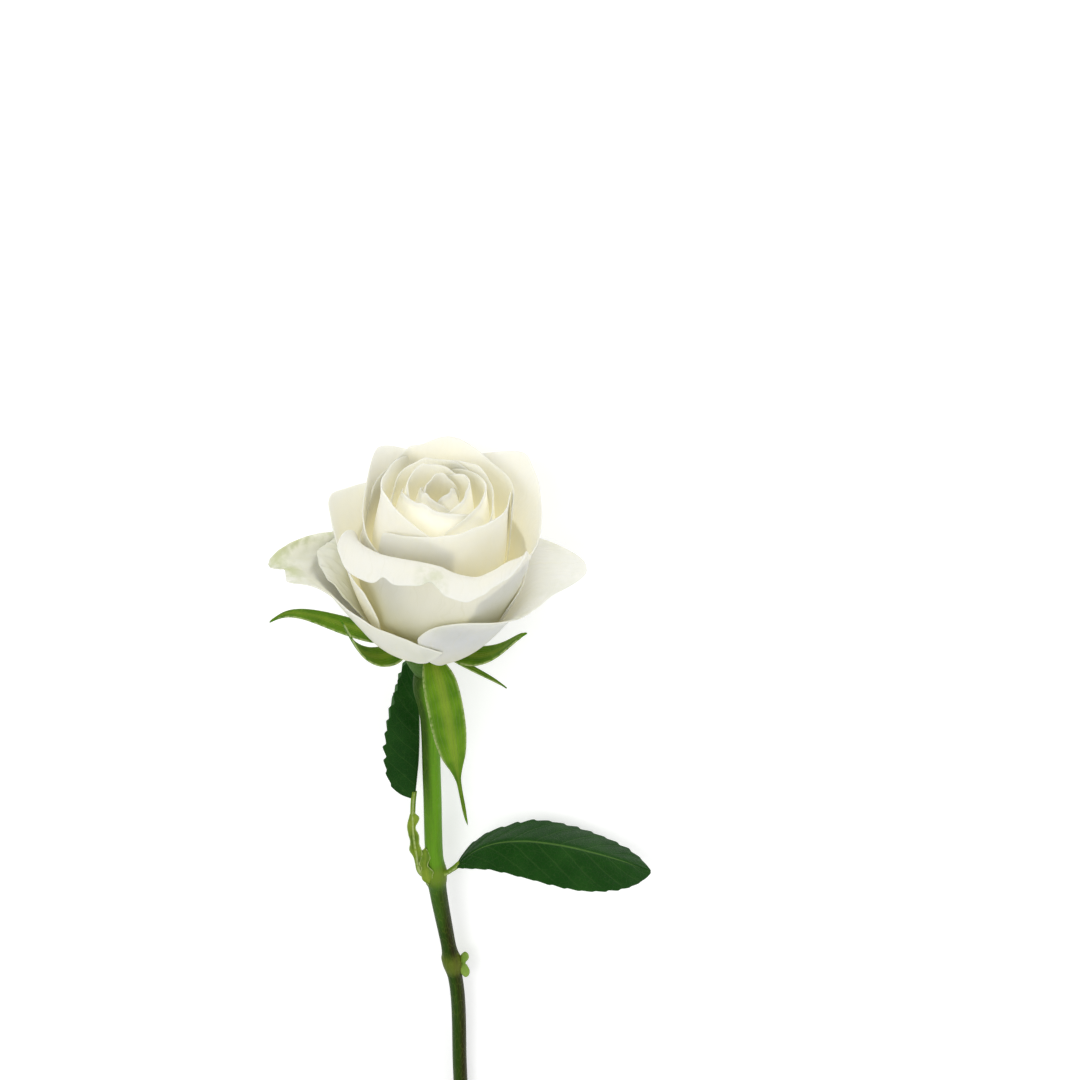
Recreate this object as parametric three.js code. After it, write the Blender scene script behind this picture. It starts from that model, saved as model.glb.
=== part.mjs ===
// A cut rose, lying on its side on a flat surface: an open bloom of loose petals on a
// receptacle with five sepals, and a leafy stretch of stem with a slanted cut end.
//
// The rose lies along +X with its bloom at the +X end and +Z up. The bloom has a frame of its
// own: +Z along the bloom's axis, away from the stem, and +X towards the upper side, so that
// azimuth 0 faces up and azimuth 180 faces the surface that the rose lies on.

import * as THREE from "three";

// ---------------------------------------------------------------- driving dimensions, mm and degrees

const bloomScale = 1; // 1 gives the petals the sizes that the list below states
const bloomTilt = 12; // how far the bloom's axis looks up from the surface
const bloomTurn = -6; // how far the bloom's axis is turned sideways, about the vertical

const petalThickness = 0.45;
const petalClearance = 0.35; // least space between two petals that lie on each other
const innerRing = 1.5; // radius at which the innermost petal is attached
const outerRing = 8; // radius at which the outermost petal is attached
const attachmentRise = 5; // how much higher the innermost petal is attached than the outermost
const attachmentBase = -1; // height of the outermost attachment
const clawSpread = 24; // half the angle that a petal takes up where it is attached

const receptacleDepth = 12; // from the rim where the sepals are attached to the stem
const receptacleFloor = 3.4; // radius at the bottom, where the stem meets it
const sepalThickness = 0.6;
const joinGap = 0.3; // space left between two pieces that grow on each other

const stemLength = 270;
const stemTopRadius = 3.05;
const stemEndRadius = 2.5;
const nodeSwelling = 0.9; // how far the stem swells at a node
const nodeSpread = 4; // length of that swelling to either side
const firstNode = 98; // distance of each node from the bloom's base
const secondNode = 137;
const budPlace = secondNode + 2;
const budHalf = [5.2, 1.9, 1.8]; // half its length, width and height
const cutSlant = 30; // the cut end is this far from square

const leafThickness = 0.5;
const rightLeafHalfWidth = 15;
const leftLeafHalfWidth = 12;
const petioleRadius = 1.1;

// ---------------------------------------------------------------- the petals

// Stations along a petal, from where it is attached to its rim. A petal's bend gives the angle
// between the blade and the bloom's axis at each station: 0 stands upright, 90 lies flat and
// more than 90 rolls back down.
const stations = [0, 0.15, 0.35, 0.6, 0.8, 0.9, 1];

// Each petal, from the heart of the bloom outwards. ring runs from 0 at the heart to 1 at the
// outside. shoulder rounds off the rim's corners, slant makes one side longer, point raises the
// middle of the rim, roll turns the left and right edges outwards, and drift turns the tip
// sideways round the bloom.
const petals = [
  { name: "heart_petal_1", azimuth: 60, ring: 0, length: 57, half: 9, bend: [30, 14, 4, 0, -8, -12, -14] },
  { name: "heart_petal_2", azimuth: 215, ring: 0.03, length: 58, half: 12, bend: [35, 17, 5, 0, -7, -8, -8] },
  { name: "heart_petal_3", azimuth: -50, ring: 0.06, length: 57, half: 14, bend: [40, 20, 6, 0, -6, -6, -4] },
  { name: "heart_petal_4", azimuth: 95, ring: 0.1, length: 60, half: 18, bend: [45, 24, 7, 1, -6, -5, -2] },
  { name: "heart_petal_5", azimuth: 225, ring: 0.13, length: 61, half: 19, bend: [50, 27, 8, 1, -5, -4, 0] },
  { name: "inner_petal_1", azimuth: -25, ring: 0.17, length: 60, half: 25, bend: [54, 32, 10, 2, -5, -2, 4] },
  { name: "inner_petal_2", azimuth: 95, ring: 0.21, length: 61, half: 26, bend: [58, 34, 12, 2, -4, -2, 6] },
  { name: "inner_petal_3", azimuth: 205, ring: 0.25, length: 64, half: 27, bend: [62, 36, 12, 2, -4, -2, 6] },
  { name: "inner_petal_4", azimuth: 140, ring: 0.29, length: 64, half: 27, bend: [64, 38, 12, 3, -4, -1, 8] },
  { name: "cup_petal_left", azimuth: -68, ring: 0.33, length: 62, half: 31, slant: 0.05, roll: [4, 0],
    bend: [68, 42, 15, 3, -4, 0, 25] },
  { name: "cup_petal_front", azimuth: 30, ring: 0.38, length: 62, half: 34, slant: -0.04, roll: [0, 3],
    bend: [72, 46, 16, 3, -5, 0, 20] },
  { name: "cup_petal_back", azimuth: 168, ring: 0.43, length: 69, half: 35, shoulder: 0.2, point: 0.03,
    bend: [74, 46, 16, 4, -4, -2, 8] },
  { name: "wrap_petal_left", azimuth: -118, ring: 0.5, length: 65, half: 38, shoulder: 0.16, slant: 0.1,
    roll: [1, 4], bend: [76, 48, 18, 5, 0, 6, 25] },
  { name: "wrap_petal_right", azimuth: 92, ring: 0.56, length: 66, half: 38, shoulder: 0.16, slant: -0.12,
    roll: [5, 1], bend: [78, 50, 20, 7, 3, 12, 35] },
  { name: "wrap_petal_back", azimuth: 204, ring: 0.59, length: 55, half: 28, shoulder: 0.2,
    bend: [78, 50, 22, 5, 0, 3, 10] },
  { name: "lip_petal", azimuth: -4, ring: 0.62, length: 65, half: 36, shoulder: 0.08, rows: 12,
    bend: [74, 42, 12, 0, 12, 75, 140] },
  { name: "outer_petal_left", azimuth: -116, ring: 0.68, length: 56, half: 30, shoulder: 0.2,
    bend: [80, 54, 22, 6, 6, 25, 60] },
  { name: "outer_petal_right", azimuth: 128, ring: 0.72, length: 52, half: 28, shoulder: 0.2,
    bend: [80, 54, 22, 6, 4, 10, 20] },
  { name: "outer_petal_back", azimuth: 182, ring: 0.76, length: 53, half: 30, shoulder: 0.2,
    bend: [82, 56, 24, 10, 8, 12, 25] },
  { name: "crumpled_petal", azimuth: -102, ring: 0.8, length: 45, half: 20, shoulder: 0.2,
    bend: [82, 60, 32, 20, 34, 60, 85] },
  { name: "guard_petal_right", azimuth: 72, ring: 0.86, length: 58, half: 35, shoulder: 0.2,
    bend: [82, 54, 36, 34, 52, 75, 88] },
  { name: "guard_petal_left", azimuth: -64, ring: 0.92, length: 58, half: 34, shoulder: 0.2,
    bend: [82, 52, 26, 15, 50, 95, 115] },
  { name: "back_guard_petal_left", azimuth: -143, ring: 0.96, length: 53, half: 24, shoulder: 0.42,
    bend: [84, 60, 34, 24, 42, 70, 90] },
  { name: "back_guard_petal_right", azimuth: 137, ring: 1, length: 51, half: 24, shoulder: 0.42,
    bend: [84, 60, 34, 24, 42, 68, 88] },
];

const sepals = [
  { name: "sepal_front", azimuth: 18, drift: 20, length: 62, half: 6.2,
    bend: [96, 140, 162, 169, 169, 168, 168] },
  { name: "sepal_left", azimuth: -64, length: 34, half: 5.2,
    bend: [106, 92, 50, 22, 16, 18, 22] },
  { name: "sepal_left_long", azimuth: -112, drift: 22, length: 44, half: 5,
    bend: [100, 88, 70, 62, 70, 100, 128] },
  { name: "sepal_right", azimuth: 80, drift: -8, length: 32, half: 5.5,
    bend: [100, 88, 58, 36, 32, 38, 44] },
  { name: "sepal_back", azimuth: 146, length: 34, half: 6, bend: [96, 84, 58, 44, 42, 46, 50] },
];
const sepalShape = { neck: 0.9, widest: 0.12, crown: 0.06, fullness: 1 };
const petalShape = { neck: 0.24, widest: 0.62, crown: 0.8, fullness: 1.2 };

// ---------------------------------------------------------------- small helpers

const radians = THREE.MathUtils.degToRad;

// A cubic step from 0 to 1 as x goes from 0 to 1.
function ease(x) {
  return THREE.MathUtils.smoothstep(x, 0, 1);
}

// The value at t of a smooth line through one value at each station.
function alongStations(values, t) {
  const last = stations.length - 1;
  const k = Math.min(last - 1, Math.max(0, stations.findIndex((station) => station > t) - 1));
  const from = t >= 1 ? last - 1 : k;
  const x = (t - stations[from]) / (stations[from + 1] - stations[from]);
  const before = values[Math.max(0, from - 1)];
  const after = values[Math.min(last, from + 2)];
  const slopeIn = (values[from + 1] - before) / 2;
  const slopeOut = (after - values[from]) / 2;
  const xx = x * x;
  const xxx = xx * x;
  return (
    (2 * xxx - 3 * xx + 1) * values[from] +
    (xxx - 2 * xx + x) * slopeIn +
    (3 * xx - 2 * xxx) * values[from + 1] +
    (xxx - xx) * slopeOut
  );
}

// A grid of points, columns across and rows along, from a function of s (-1 to 1) and t (0 to 1).
function gridOf(columns, rows, place) {
  const grid = { columns, rows, points: [] };
  for (let i = 0; i <= columns; i++) {
    for (let j = 0; j <= rows; j++) {
      grid.points.push(place((2 * i) / columns - 1, j / rows));
    }
  }
  return grid;
}

function gridPoint(grid, i, j) {
  const column = Math.min(grid.columns, Math.max(0, i));
  const row = Math.min(grid.rows, Math.max(0, j));
  return grid.points[column * (grid.rows + 1) + row];
}

// The unit normal of a grid at one of its points, towards the outside of the bloom.
function gridNormal(grid, i, j) {
  const across = gridPoint(grid, i + 1, j).clone().sub(gridPoint(grid, i - 1, j));
  const along = gridPoint(grid, i, j + 1).clone().sub(gridPoint(grid, i, j - 1));
  return across.cross(along).normalize();
}

// A closed sheet of even thickness whose middle surface is the grid.
function sheetGeometry(grid, thickness) {
  const geometry = new THREE.BoxGeometry(grid.columns, grid.rows, 2, grid.columns, grid.rows, 1);
  const position = geometry.attributes.position;
  for (let k = 0; k < position.count; k++) {
    const i = Math.round(position.getX(k) + grid.columns / 2);
    const j = Math.round(position.getY(k) + grid.rows / 2);
    const offset = (position.getZ(k) * thickness) / 2;
    const point = gridNormal(grid, i, j).multiplyScalar(offset).add(gridPoint(grid, i, j));
    position.setXYZ(k, point.x, point.y, point.z);
  }
  return geometry;
}

function named(name, geometry, material) {
  const mesh = new THREE.Mesh(geometry, material);
  mesh.name = name;
  return mesh;
}

function finish(color, roughness) {
  return new THREE.MeshStandardMaterial({ color, roughness, metalness: 0 });
}

// ---------------------------------------------------------------- blades: petals and sepals

function ringRadius(ring) {
  return innerRing + (outerRing - innerRing) * ring;
}

function ringHeight(ring) {
  return attachmentBase + attachmentRise * (1 - ring * ring);
}

// The middle line of a blade from its base to its rim, as radius and height in the bloom, and
// its half width along that line.
function blade(cut, base, shape) {
  const steps = 60;
  const step = (cut.length * bloomScale) / steps;
  const line = [base];
  for (let k = 0; k < steps; k++) {
    const angle = radians(alongStations(cut.bend, (k + 0.5) / steps));
    line.push(new THREE.Vector2(Math.sin(angle), Math.cos(angle)).multiplyScalar(step).add(line[k]));
  }
  const widthAt = (t) => {
    if (t < shape.widest) {
      const rise = Math.sin(((Math.PI / 2) * t) / shape.widest) ** shape.fullness;
      return cut.half * bloomScale * (shape.neck + (1 - shape.neck) * rise);
    }
    const past = (t - shape.widest) / (1 - shape.widest);
    return cut.half * bloomScale * (1 - (1 - shape.crown) * past * past);
  };
  const lineAt = (t) => {
    const k = Math.min(steps - 1, Math.floor(t * steps));
    return line[k].clone().lerp(line[k + 1], t * steps - k);
  };
  return { lineAt, widthAt };
}

// The point of a blade at s across (-1 to 1, towards greater azimuth) and t along (0 to 1).
function bladePoint(cut, { lineAt, widthAt }, s, t) {
  const { shoulder = 0.1, slant = 0, point = 0.02, roll = [0, 0], drift = 0 } = cut;
  const rim = 1 - shoulder * Math.abs(s) ** 2.6 - slant * s + point * (Math.exp(-((s / 0.1) ** 2)) - 1);
  const reach = Math.min(1, t * rim);
  const middle = lineAt(reach);
  const free = widthAt(reach) / Math.max(middle.x, 1);
  const widest = radians(clawSpread) + 3 * ease(reach / 0.7);
  const spread = s * (free ** -3 + widest ** -3) ** (-1 / 3);
  const edge = Math.max(0, 2 * Math.abs(s) - 1) ** 2.2 * ease(reach / 0.5);
  const radius = middle.x + edge * (s < 0 ? roll[0] : roll[1]);
  const azimuth = radians(cut.azimuth + drift * reach) + spread;
  return new THREE.Vector3(radius * Math.cos(azimuth), radius * Math.sin(azimuth), middle.y);
}

// Points spread evenly over a grid's cells, each with its normal and the corners of its cell.
function surfaceSamples(grid, perCell) {
  const samples = [];
  const shares = Array.from({ length: perCell + 1 }, (_, k) => k / perCell);
  for (let i = 0; i < grid.columns; i++) {
    for (let j = 0; j < grid.rows; j++) {
      const corners = [[i, j], [i + 1, j], [i, j + 1], [i + 1, j + 1]];
      const [a, b, c, d] = corners.map(([column, row]) => gridPoint(grid, column, row));
      for (const x of shares) {
        for (const y of shares) {
          const low = a.clone().lerp(b, x);
          const high = c.clone().lerp(d, x);
          const across = b.clone().sub(a).lerp(d.clone().sub(c), y);
          const along = high.clone().sub(low);
          samples.push({ point: low.lerp(high, y), normal: across.cross(along).normalize(), corners });
        }
      }
    }
  }
  return samples;
}

// How far each point of a new blade has to move outwards to lie apart from the blades inside it.
function pushOf(grid, inside, apart) {
  const reach = 12;
  const across = gridPoint(grid, 1, grid.rows >> 1).distanceTo(gridPoint(grid, 0, grid.rows >> 1));
  const beside = 1.4 + 0.3 * across;
  const own = surfaceSamples(grid, 2);
  const push = grid.points.map(() => 0);
  for (const { point, normal } of inside) {
    let nearest = null;
    let shortest = reach * reach;
    for (const sample of own) {
      const distance = sample.point.distanceToSquared(point);
      if (distance < shortest) {
        shortest = distance;
        nearest = sample;
      }
    }
    if (!nearest || nearest.normal.dot(normal) < 0) continue;
    const out = point.clone().sub(nearest.point).dot(nearest.normal);
    if (shortest - out * out > beside * beside) continue;
    for (const [i, j] of nearest.corners) {
      const k = i * (grid.rows + 1) + j;
      push[k] = Math.max(push[k], out + apart);
    }
  }
  return push;
}

// Lets a push fade out over the points around it, so that the blade stays smooth.
function fade(grid, push) {
  const slope = 0.3;
  for (let pass = 0; pass < 3; pass++) {
    const before = [...push];
    for (let i = 0; i <= grid.columns; i++) {
      for (let j = 0; j <= grid.rows; j++) {
        for (const [di, dj] of [[1, 0], [-1, 0], [0, 1], [0, -1]]) {
          const column = i + di;
          const row = j + dj;
          if (column < 0 || row < 0 || column > grid.columns || row > grid.rows) continue;
          const drop = slope * gridPoint(grid, i, j).distanceTo(gridPoint(grid, column, row));
          const k = i * (grid.rows + 1) + j;
          push[k] = Math.max(push[k], before[column * (grid.rows + 1) + row] - drop);
        }
      }
    }
  }
}

// Smooths a blade by drawing each point part of the way to the middle of those beside it.
function relax(grid) {
  const pull = 0.35;
  const moves = [];
  for (let i = 0; i <= grid.columns; i++) {
    for (let j = 0; j <= grid.rows; j++) {
      const normal = gridNormal(grid, i, j);
      const middle = new THREE.Vector3();
      for (const [di, dj] of [[1, 0], [-1, 0], [0, 1], [0, -1]]) {
        middle.add(gridPoint(grid, i + di, j + dj)).sub(gridPoint(grid, i, j));
      }
      const inside = i > 0 && j > 0 && i < grid.columns && j < grid.rows;
      moves.push(normal.multiplyScalar(inside ? (pull * middle.dot(normal)) / 4 : 0));
    }
  }
  grid.points.forEach((point, k) => point.add(moves[k]));
}

// Moves a new blade outwards wherever it would come closer than apart to the blades inside it.
// What lies beyond a bend is carried outwards by the part of the blade that holds it.
function settle(grid, inside, apart) {
  const rounds = 4;
  const upright = 0.6;
  for (let round = 1; round <= rounds; round++) {
    const push = pushOf(grid, inside, apart);
    fade(grid, push);
    const moves = [];
    for (let i = 0; i <= grid.columns; i++) {
      for (let j = 0; j <= grid.rows; j++) {
        const normal = gridNormal(grid, i, j);
        const move = normal.clone().multiplyScalar(push[moves.length]);
        const bent = Math.hypot(normal.x, normal.y) < upright || normal.z > 0;
        const below = moves[moves.length - 1];
        if (j > grid.rows / 2 && bent && below.length() > move.length()) move.copy(below);
        moves.push(move);
      }
    }
    grid.points.forEach((point, k) => point.add(moves[k]));
    if (round < rounds - 1) relax(grid);
  }
}

// ---------------------------------------------------------------- the bloom

function makeBloom() {
  const bloom = new THREE.Group();
  const petalWhite = finish(0xf4f1e4, 0.6);
  const guardWhite = finish(0xe9e8dc, 0.65);
  const sepalGreen = finish(0x5d8a2c, 0.6);
  const placed = [];
  const petalGrids = [];
  for (const cut of petals) {
    const base = new THREE.Vector2(ringRadius(cut.ring), ringHeight(cut.ring));
    const shape = blade(cut, base, petalShape);
    const grid = gridOf(8, cut.rows ?? 8, (s, t) => bladePoint(cut, shape, s, t));
    settle(grid, placed, petalThickness + petalClearance);
    placed.push(...surfaceSamples(grid, 2));
    petalGrids.push(grid);
    const material = cut.ring > 0.75 ? guardWhite : petalWhite;
    bloom.add(named(cut.name, sheetGeometry(grid, petalThickness), material));
  }
  const petalFaces = petalGrids.flatMap((grid) => surfaceSamples(grid, 5));
  const cup = receptacleProfile(placed);
  bloom.add(named("receptacle", cup.geometry, sepalGreen));
  for (const cut of sepals) {
    const shape = blade(cut, cup.sepalBase, sepalShape);
    const grid = gridOf(4, 10, (s, t) => bladePoint({ ...cut, point: 0 }, shape, s, t));
    settle(grid, petalFaces, (petalThickness + sepalThickness) / 2 + petalClearance);
    bloom.add(named(cut.name, sheetGeometry(grid, sepalThickness), sepalGreen));
  }
  bloom.userData.stemTop = cup.bottom - joinGap;
  return bloom;
}

// The lowest point of the placed blades in the ring of this radius.
function lowestOver(placed, radius) {
  const ringWidth = 1.6;
  let lowest = ringHeight(0);
  for (const { point } of placed) {
    if (Math.abs(Math.hypot(point.x, point.y) - radius) < ringWidth) lowest = Math.min(lowest, point.z);
  }
  return lowest;
}

// The green cup under the petals. Its top follows the undersides of the petals' bases, the
// sepals are attached around its rim, and the stem meets its bottom.
function receptacleProfile(placed) {
  const under = petalThickness / 2 + joinGap;
  const profile = [];
  for (const share of [0, 0.3, 0.6, 0.8, 1]) {
    const height = lowestOver(placed, outerRing * share) - under;
    profile.push(new THREE.Vector2(outerRing * share, Math.min(height, profile.at(-1)?.y ?? height)));
  }
  const rim = profile.at(-1).y;
  const bottom = rim - receptacleDepth;
  profile.push(new THREE.Vector2(outerRing * 0.97, rim - receptacleDepth * 0.3));
  profile.push(new THREE.Vector2((outerRing + receptacleFloor) / 2, rim - receptacleDepth * 0.7));
  profile.push(new THREE.Vector2(receptacleFloor, bottom));
  profile.push(new THREE.Vector2(0, bottom));
  const geometry = new THREE.LatheGeometry(profile.reverse(), 16);
  geometry.rotateX(Math.PI / 2);
  const outside = outerRing + joinGap + sepalThickness / 2;
  return { geometry, bottom, sepalBase: new THREE.Vector2(outside, rim - sepalThickness) };
}

// ---------------------------------------------------------------- the stem

const belowNodes = (share) => THREE.MathUtils.lerp(secondNode, stemLength, share);

// The stem's route as distance from the bloom's base and sideways place, from the bloom's neck
// to the cut end. It sinks gently until the cut end lies on the surface.
const stemRoute = [
  [30, 0.2],
  [60, -0.2],
  [firstNode, -0.6],
  [secondNode - 7, -4.5],
  [secondNode + 13, -7.2],
  [belowNodes(0.37), -7.7],
  [belowNodes(0.7), -9],
  [stemLength, -11.5],
];
const stemSink = 145; // the distance over which the stem levels out

function stemCurve(bloom, floor) {
  const onAxis = (height) => bloom.localToWorld(new THREE.Vector3(0, 0, height));
  const level = (distance) => 1 - Math.exp(-distance / stemSink);
  const end = floor + stemEndRadius;
  const points = [onAxis(bloom.userData.stemTop), onAxis(bloom.userData.stemTop - 6)];
  for (const [distance, sideways] of stemRoute) {
    points.push(new THREE.Vector3(-distance, sideways, (end * level(distance)) / level(stemLength)));
  }
  return new THREE.CatmullRomCurve3(points);
}

function stemRadiusAt(distance) {
  const swelling = (node) => nodeSwelling * Math.exp(-(((distance - node) / nodeSpread) ** 2));
  const slim = ease((distance - firstNode) / (secondNode - firstNode));
  const plain = THREE.MathUtils.lerp(stemTopRadius, stemEndRadius, slim);
  return plain + swelling(firstNode) + swelling(secondNode);
}

// Two directions square to the stem: up and to the side.
function stemSides(direction) {
  const side = new THREE.Vector3(0, 0, 1).cross(direction).normalize();
  return { side, up: direction.clone().cross(side) };
}

function makeStem(curve) {
  const geometry = new THREE.CylinderGeometry(1, 1, 1, 10, 34);
  const position = geometry.attributes.position;
  const slant = Math.tan(radians(cutSlant));
  for (let k = 0; k < position.count; k++) {
    const t = 0.5 - position.getY(k);
    const centre = curve.getPointAt(t);
    const along = curve.getTangentAt(t);
    const { side, up } = stemSides(along);
    const radius = stemRadiusAt(-centre.x);
    const height = position.getX(k) * radius;
    const sideways = -position.getZ(k) * radius;
    centre.addScaledVector(up, height).addScaledVector(side, sideways);
    centre.addScaledVector(along, t === 1 ? -height * slant : 0);
    position.setXYZ(k, centre.x, centre.y, centre.z);
  }
  return named("stem", geometry, finish(0x5f7f30, 0.55));
}

// ---------------------------------------------------------------- leaves

// The two leaflets at the first node. Midrib points are measured from the node, and each half of
// the leaflet spreads from the midrib in its own direction.
const rightLeaf = {
  name: "leaf_right",
  halfWidth: rightLeafHalfWidth,
  fullest: 1.1,
  midrib: [
    [5, -7, 4], [12, -12, 7], [17, -19, 9], [19, -29, 10],
    [18, -41, 10.5], [14, -53, 9], [9, -64, 7], [3, -73, 4],
  ],
  halves: [[-0.6, 0, 0.8], [-0.05, 0, -1]],
};
const leftLeaf = {
  name: "leaf_left",
  halfWidth: leftLeafHalfWidth,
  fullest: 0.6,
  midrib: [[31, 6.6, 3], [48, 4.8, 3], [66, 4.6, 1.5], [85, 6, -1]],
  halves: [[0.1, 0.93, 0.35], [0.1, 0.93, -0.35]],
};
const petioles = [
  { name: "petiole_right", route: [[1.4, -4.2, 1.8], [3, -5.4, 3], [4.3, -6.5, 3.8]] },
  { name: "petiole_left", route: [[2, 4.8, 2], [10, 6.2, 3], [20, 7.1, 3.2], [29.5, 6.9, 3]] },
];

function fromNode(node, point) {
  return new THREE.Vector3(...point).add(node);
}

function makeLeaf(node, leaf) {
  const curve = new THREE.CatmullRomCurve3(leaf.midrib.map((point) => fromNode(node, point)));
  const [left, right] = leaf.halves.map((half) => new THREE.Vector3(...half).normalize());
  const grid = gridOf(6, 12, (s, t) => {
    const width = Math.max(0.8, leaf.halfWidth * Math.sin(Math.PI * t ** leaf.fullest) ** 0.75);
    return curve.getPointAt(t).addScaledVector(s < 0 ? left : right, Math.abs(s) * width);
  });
  return named(leaf.name, sheetGeometry(grid, leafThickness), finish(0x2f5a24, 0.5));
}

function makePetiole(node, petiole) {
  const circle = new THREE.Shape().absarc(0, 0, petioleRadius, 0, 2 * Math.PI);
  const path = new THREE.CatmullRomCurve3(petiole.route.map((point) => fromNode(node, point)));
  const geometry = new THREE.ExtrudeGeometry(circle, { steps: 8, curveSegments: 8, extrudePath: path });
  return named(petiole.name, geometry, finish(0x6f8a35, 0.6));
}

// The dormant bud in the second node's leaf scar.
function makeBud(curve) {
  const t = findAlong(curve, budPlace);
  const along = curve.getTangentAt(t);
  const { side } = stemSides(along);
  const radius = stemRadiusAt(budPlace);
  const geometry = new THREE.SphereGeometry(1, 10, 6).scale(...budHalf);
  const mesh = named("axil_bud", geometry, finish(0x8aa84a, 0.6));
  mesh.position.copy(curve.getPointAt(t)).addScaledVector(side, radius + budHalf[1] + joinGap);
  return mesh;
}

// The place on the stem's curve that lies this far from the bloom's base.
function findAlong(curve, distance) {
  let low = 0;
  let high = 1;
  for (let step = 0; step < 40; step++) {
    const middle = (low + high) / 2;
    if (-curve.getPointAt(middle).x < distance) low = middle;
    else high = middle;
  }
  return low;
}

// ---------------------------------------------------------------- the whole rose

const rose = new THREE.Group();
const bloom = makeBloom();
const tilt = radians(bloomTilt);
bloom.setRotationFromMatrix(
  new THREE.Matrix4().makeBasis(
    new THREE.Vector3(-Math.sin(tilt), 0, Math.cos(tilt)),
    new THREE.Vector3(0, -1, 0),
    new THREE.Vector3(Math.cos(tilt), 0, Math.sin(tilt)),
  ),
);
bloom.rotateOnWorldAxis(new THREE.Vector3(0, 0, 1), radians(bloomTurn));
rose.add(bloom);
rose.updateMatrixWorld(true);

const floor = new THREE.Box3().setFromObject(bloom, true).min.z;
const curve = stemCurve(bloom, floor);
const node = curve.getPointAt(findAlong(curve, firstNode));
rose.add(makeStem(curve));
rose.add(makeLeaf(node, rightLeaf), makeLeaf(node, leftLeaf));
rose.add(...petioles.map((petiole) => makePetiole(node, petiole)));
rose.add(makeBud(curve));

// The rose's origin is the middle of the ground that it covers.
const extent = new THREE.Box3().setFromObject(rose, true);
const middle = extent.getCenter(new THREE.Vector3());
rose.position.set(-middle.x, -middle.y, -extent.min.z);

export default rose;
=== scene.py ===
"""A cut rose that lies on its side: an open bloom of loose white petals on a green receptacle
with five sepals, and a leafy stretch of stem with a slanted cut end.

Lengths are in millimetres in the frame of the rose, whose origin is the base of the bloom, and
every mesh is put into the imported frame, in metres, as it is made.
"""

import logging
import math
from dataclasses import dataclass, field
from enum import Enum
from typing import Callable, Optional, Sequence, Union

import bmesh
import bpy
import numpy as np
from mathutils import Matrix, Vector, noise


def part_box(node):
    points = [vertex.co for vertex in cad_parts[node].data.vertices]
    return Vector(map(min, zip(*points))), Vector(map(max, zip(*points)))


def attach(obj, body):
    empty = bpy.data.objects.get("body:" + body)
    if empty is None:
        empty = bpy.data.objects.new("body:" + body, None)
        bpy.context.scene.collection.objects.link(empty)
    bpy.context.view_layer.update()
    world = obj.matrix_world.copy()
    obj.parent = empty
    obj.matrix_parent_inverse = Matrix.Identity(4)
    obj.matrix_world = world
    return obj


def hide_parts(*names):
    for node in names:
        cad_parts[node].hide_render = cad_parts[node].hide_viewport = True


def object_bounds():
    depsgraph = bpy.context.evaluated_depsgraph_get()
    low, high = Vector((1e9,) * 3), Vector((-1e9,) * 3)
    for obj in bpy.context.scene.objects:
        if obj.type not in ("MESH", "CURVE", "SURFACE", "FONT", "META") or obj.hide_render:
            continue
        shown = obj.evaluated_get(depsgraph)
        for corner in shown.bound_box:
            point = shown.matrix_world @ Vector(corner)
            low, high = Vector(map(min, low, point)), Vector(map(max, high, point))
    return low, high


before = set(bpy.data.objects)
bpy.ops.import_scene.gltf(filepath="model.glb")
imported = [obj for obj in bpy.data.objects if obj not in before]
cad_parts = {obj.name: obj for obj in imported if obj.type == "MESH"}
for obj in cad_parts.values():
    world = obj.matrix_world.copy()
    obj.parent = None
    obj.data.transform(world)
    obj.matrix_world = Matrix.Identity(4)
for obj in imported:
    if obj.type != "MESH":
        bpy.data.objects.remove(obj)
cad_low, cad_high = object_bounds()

log = logging.getLogger("rose")

MM = 0.001
UV_LAYER = "UVMap"
STATIONS = (0.0, 0.15, 0.35, 0.6, 0.8, 0.9, 1.0)
Colour = tuple[float, float, float]


# ---------------------------------------------------------------- lines and sheets


def ease(x: np.ndarray) -> np.ndarray:
    """Returns a cubic step from 0 to 1 as x goes from 0 to 1."""
    x = np.clip(x, 0, 1)
    return x * x * (3 - 2 * x)


def bell(x: np.ndarray, middle: float, width: float) -> np.ndarray:
    """Returns a smooth hump of height 1 around the middle."""
    return np.exp(-(((x - middle) / width) ** 2))


def through(stations: Sequence[float], values: Sequence[float], x: np.ndarray) -> np.ndarray:
    """Reads a smooth line off one value at each station.

    Args:
        stations: where the values stand, rising.
        values: one value for each station.
        x: the places to read.

    Returns:
        The line's value at each place.
    """
    at, value = np.array(stations, float), np.array(values, float)
    k = np.clip(np.searchsorted(at, x, side="right") - 1, 0, len(at) - 2)
    y = (x - at[k]) / (at[k + 1] - at[k])
    slope_in = (value[k + 1] - value[np.maximum(k - 1, 0)]) / 2
    slope_out = (value[np.minimum(k + 2, len(at) - 1)] - value[k]) / 2
    start = (2 * y**3 - 3 * y**2 + 1) * value[k] + (y**3 - 2 * y**2 + y) * slope_in
    return start + (3 * y**2 - 2 * y**3) * value[k + 1] + (y**3 - y**2) * slope_out


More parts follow.
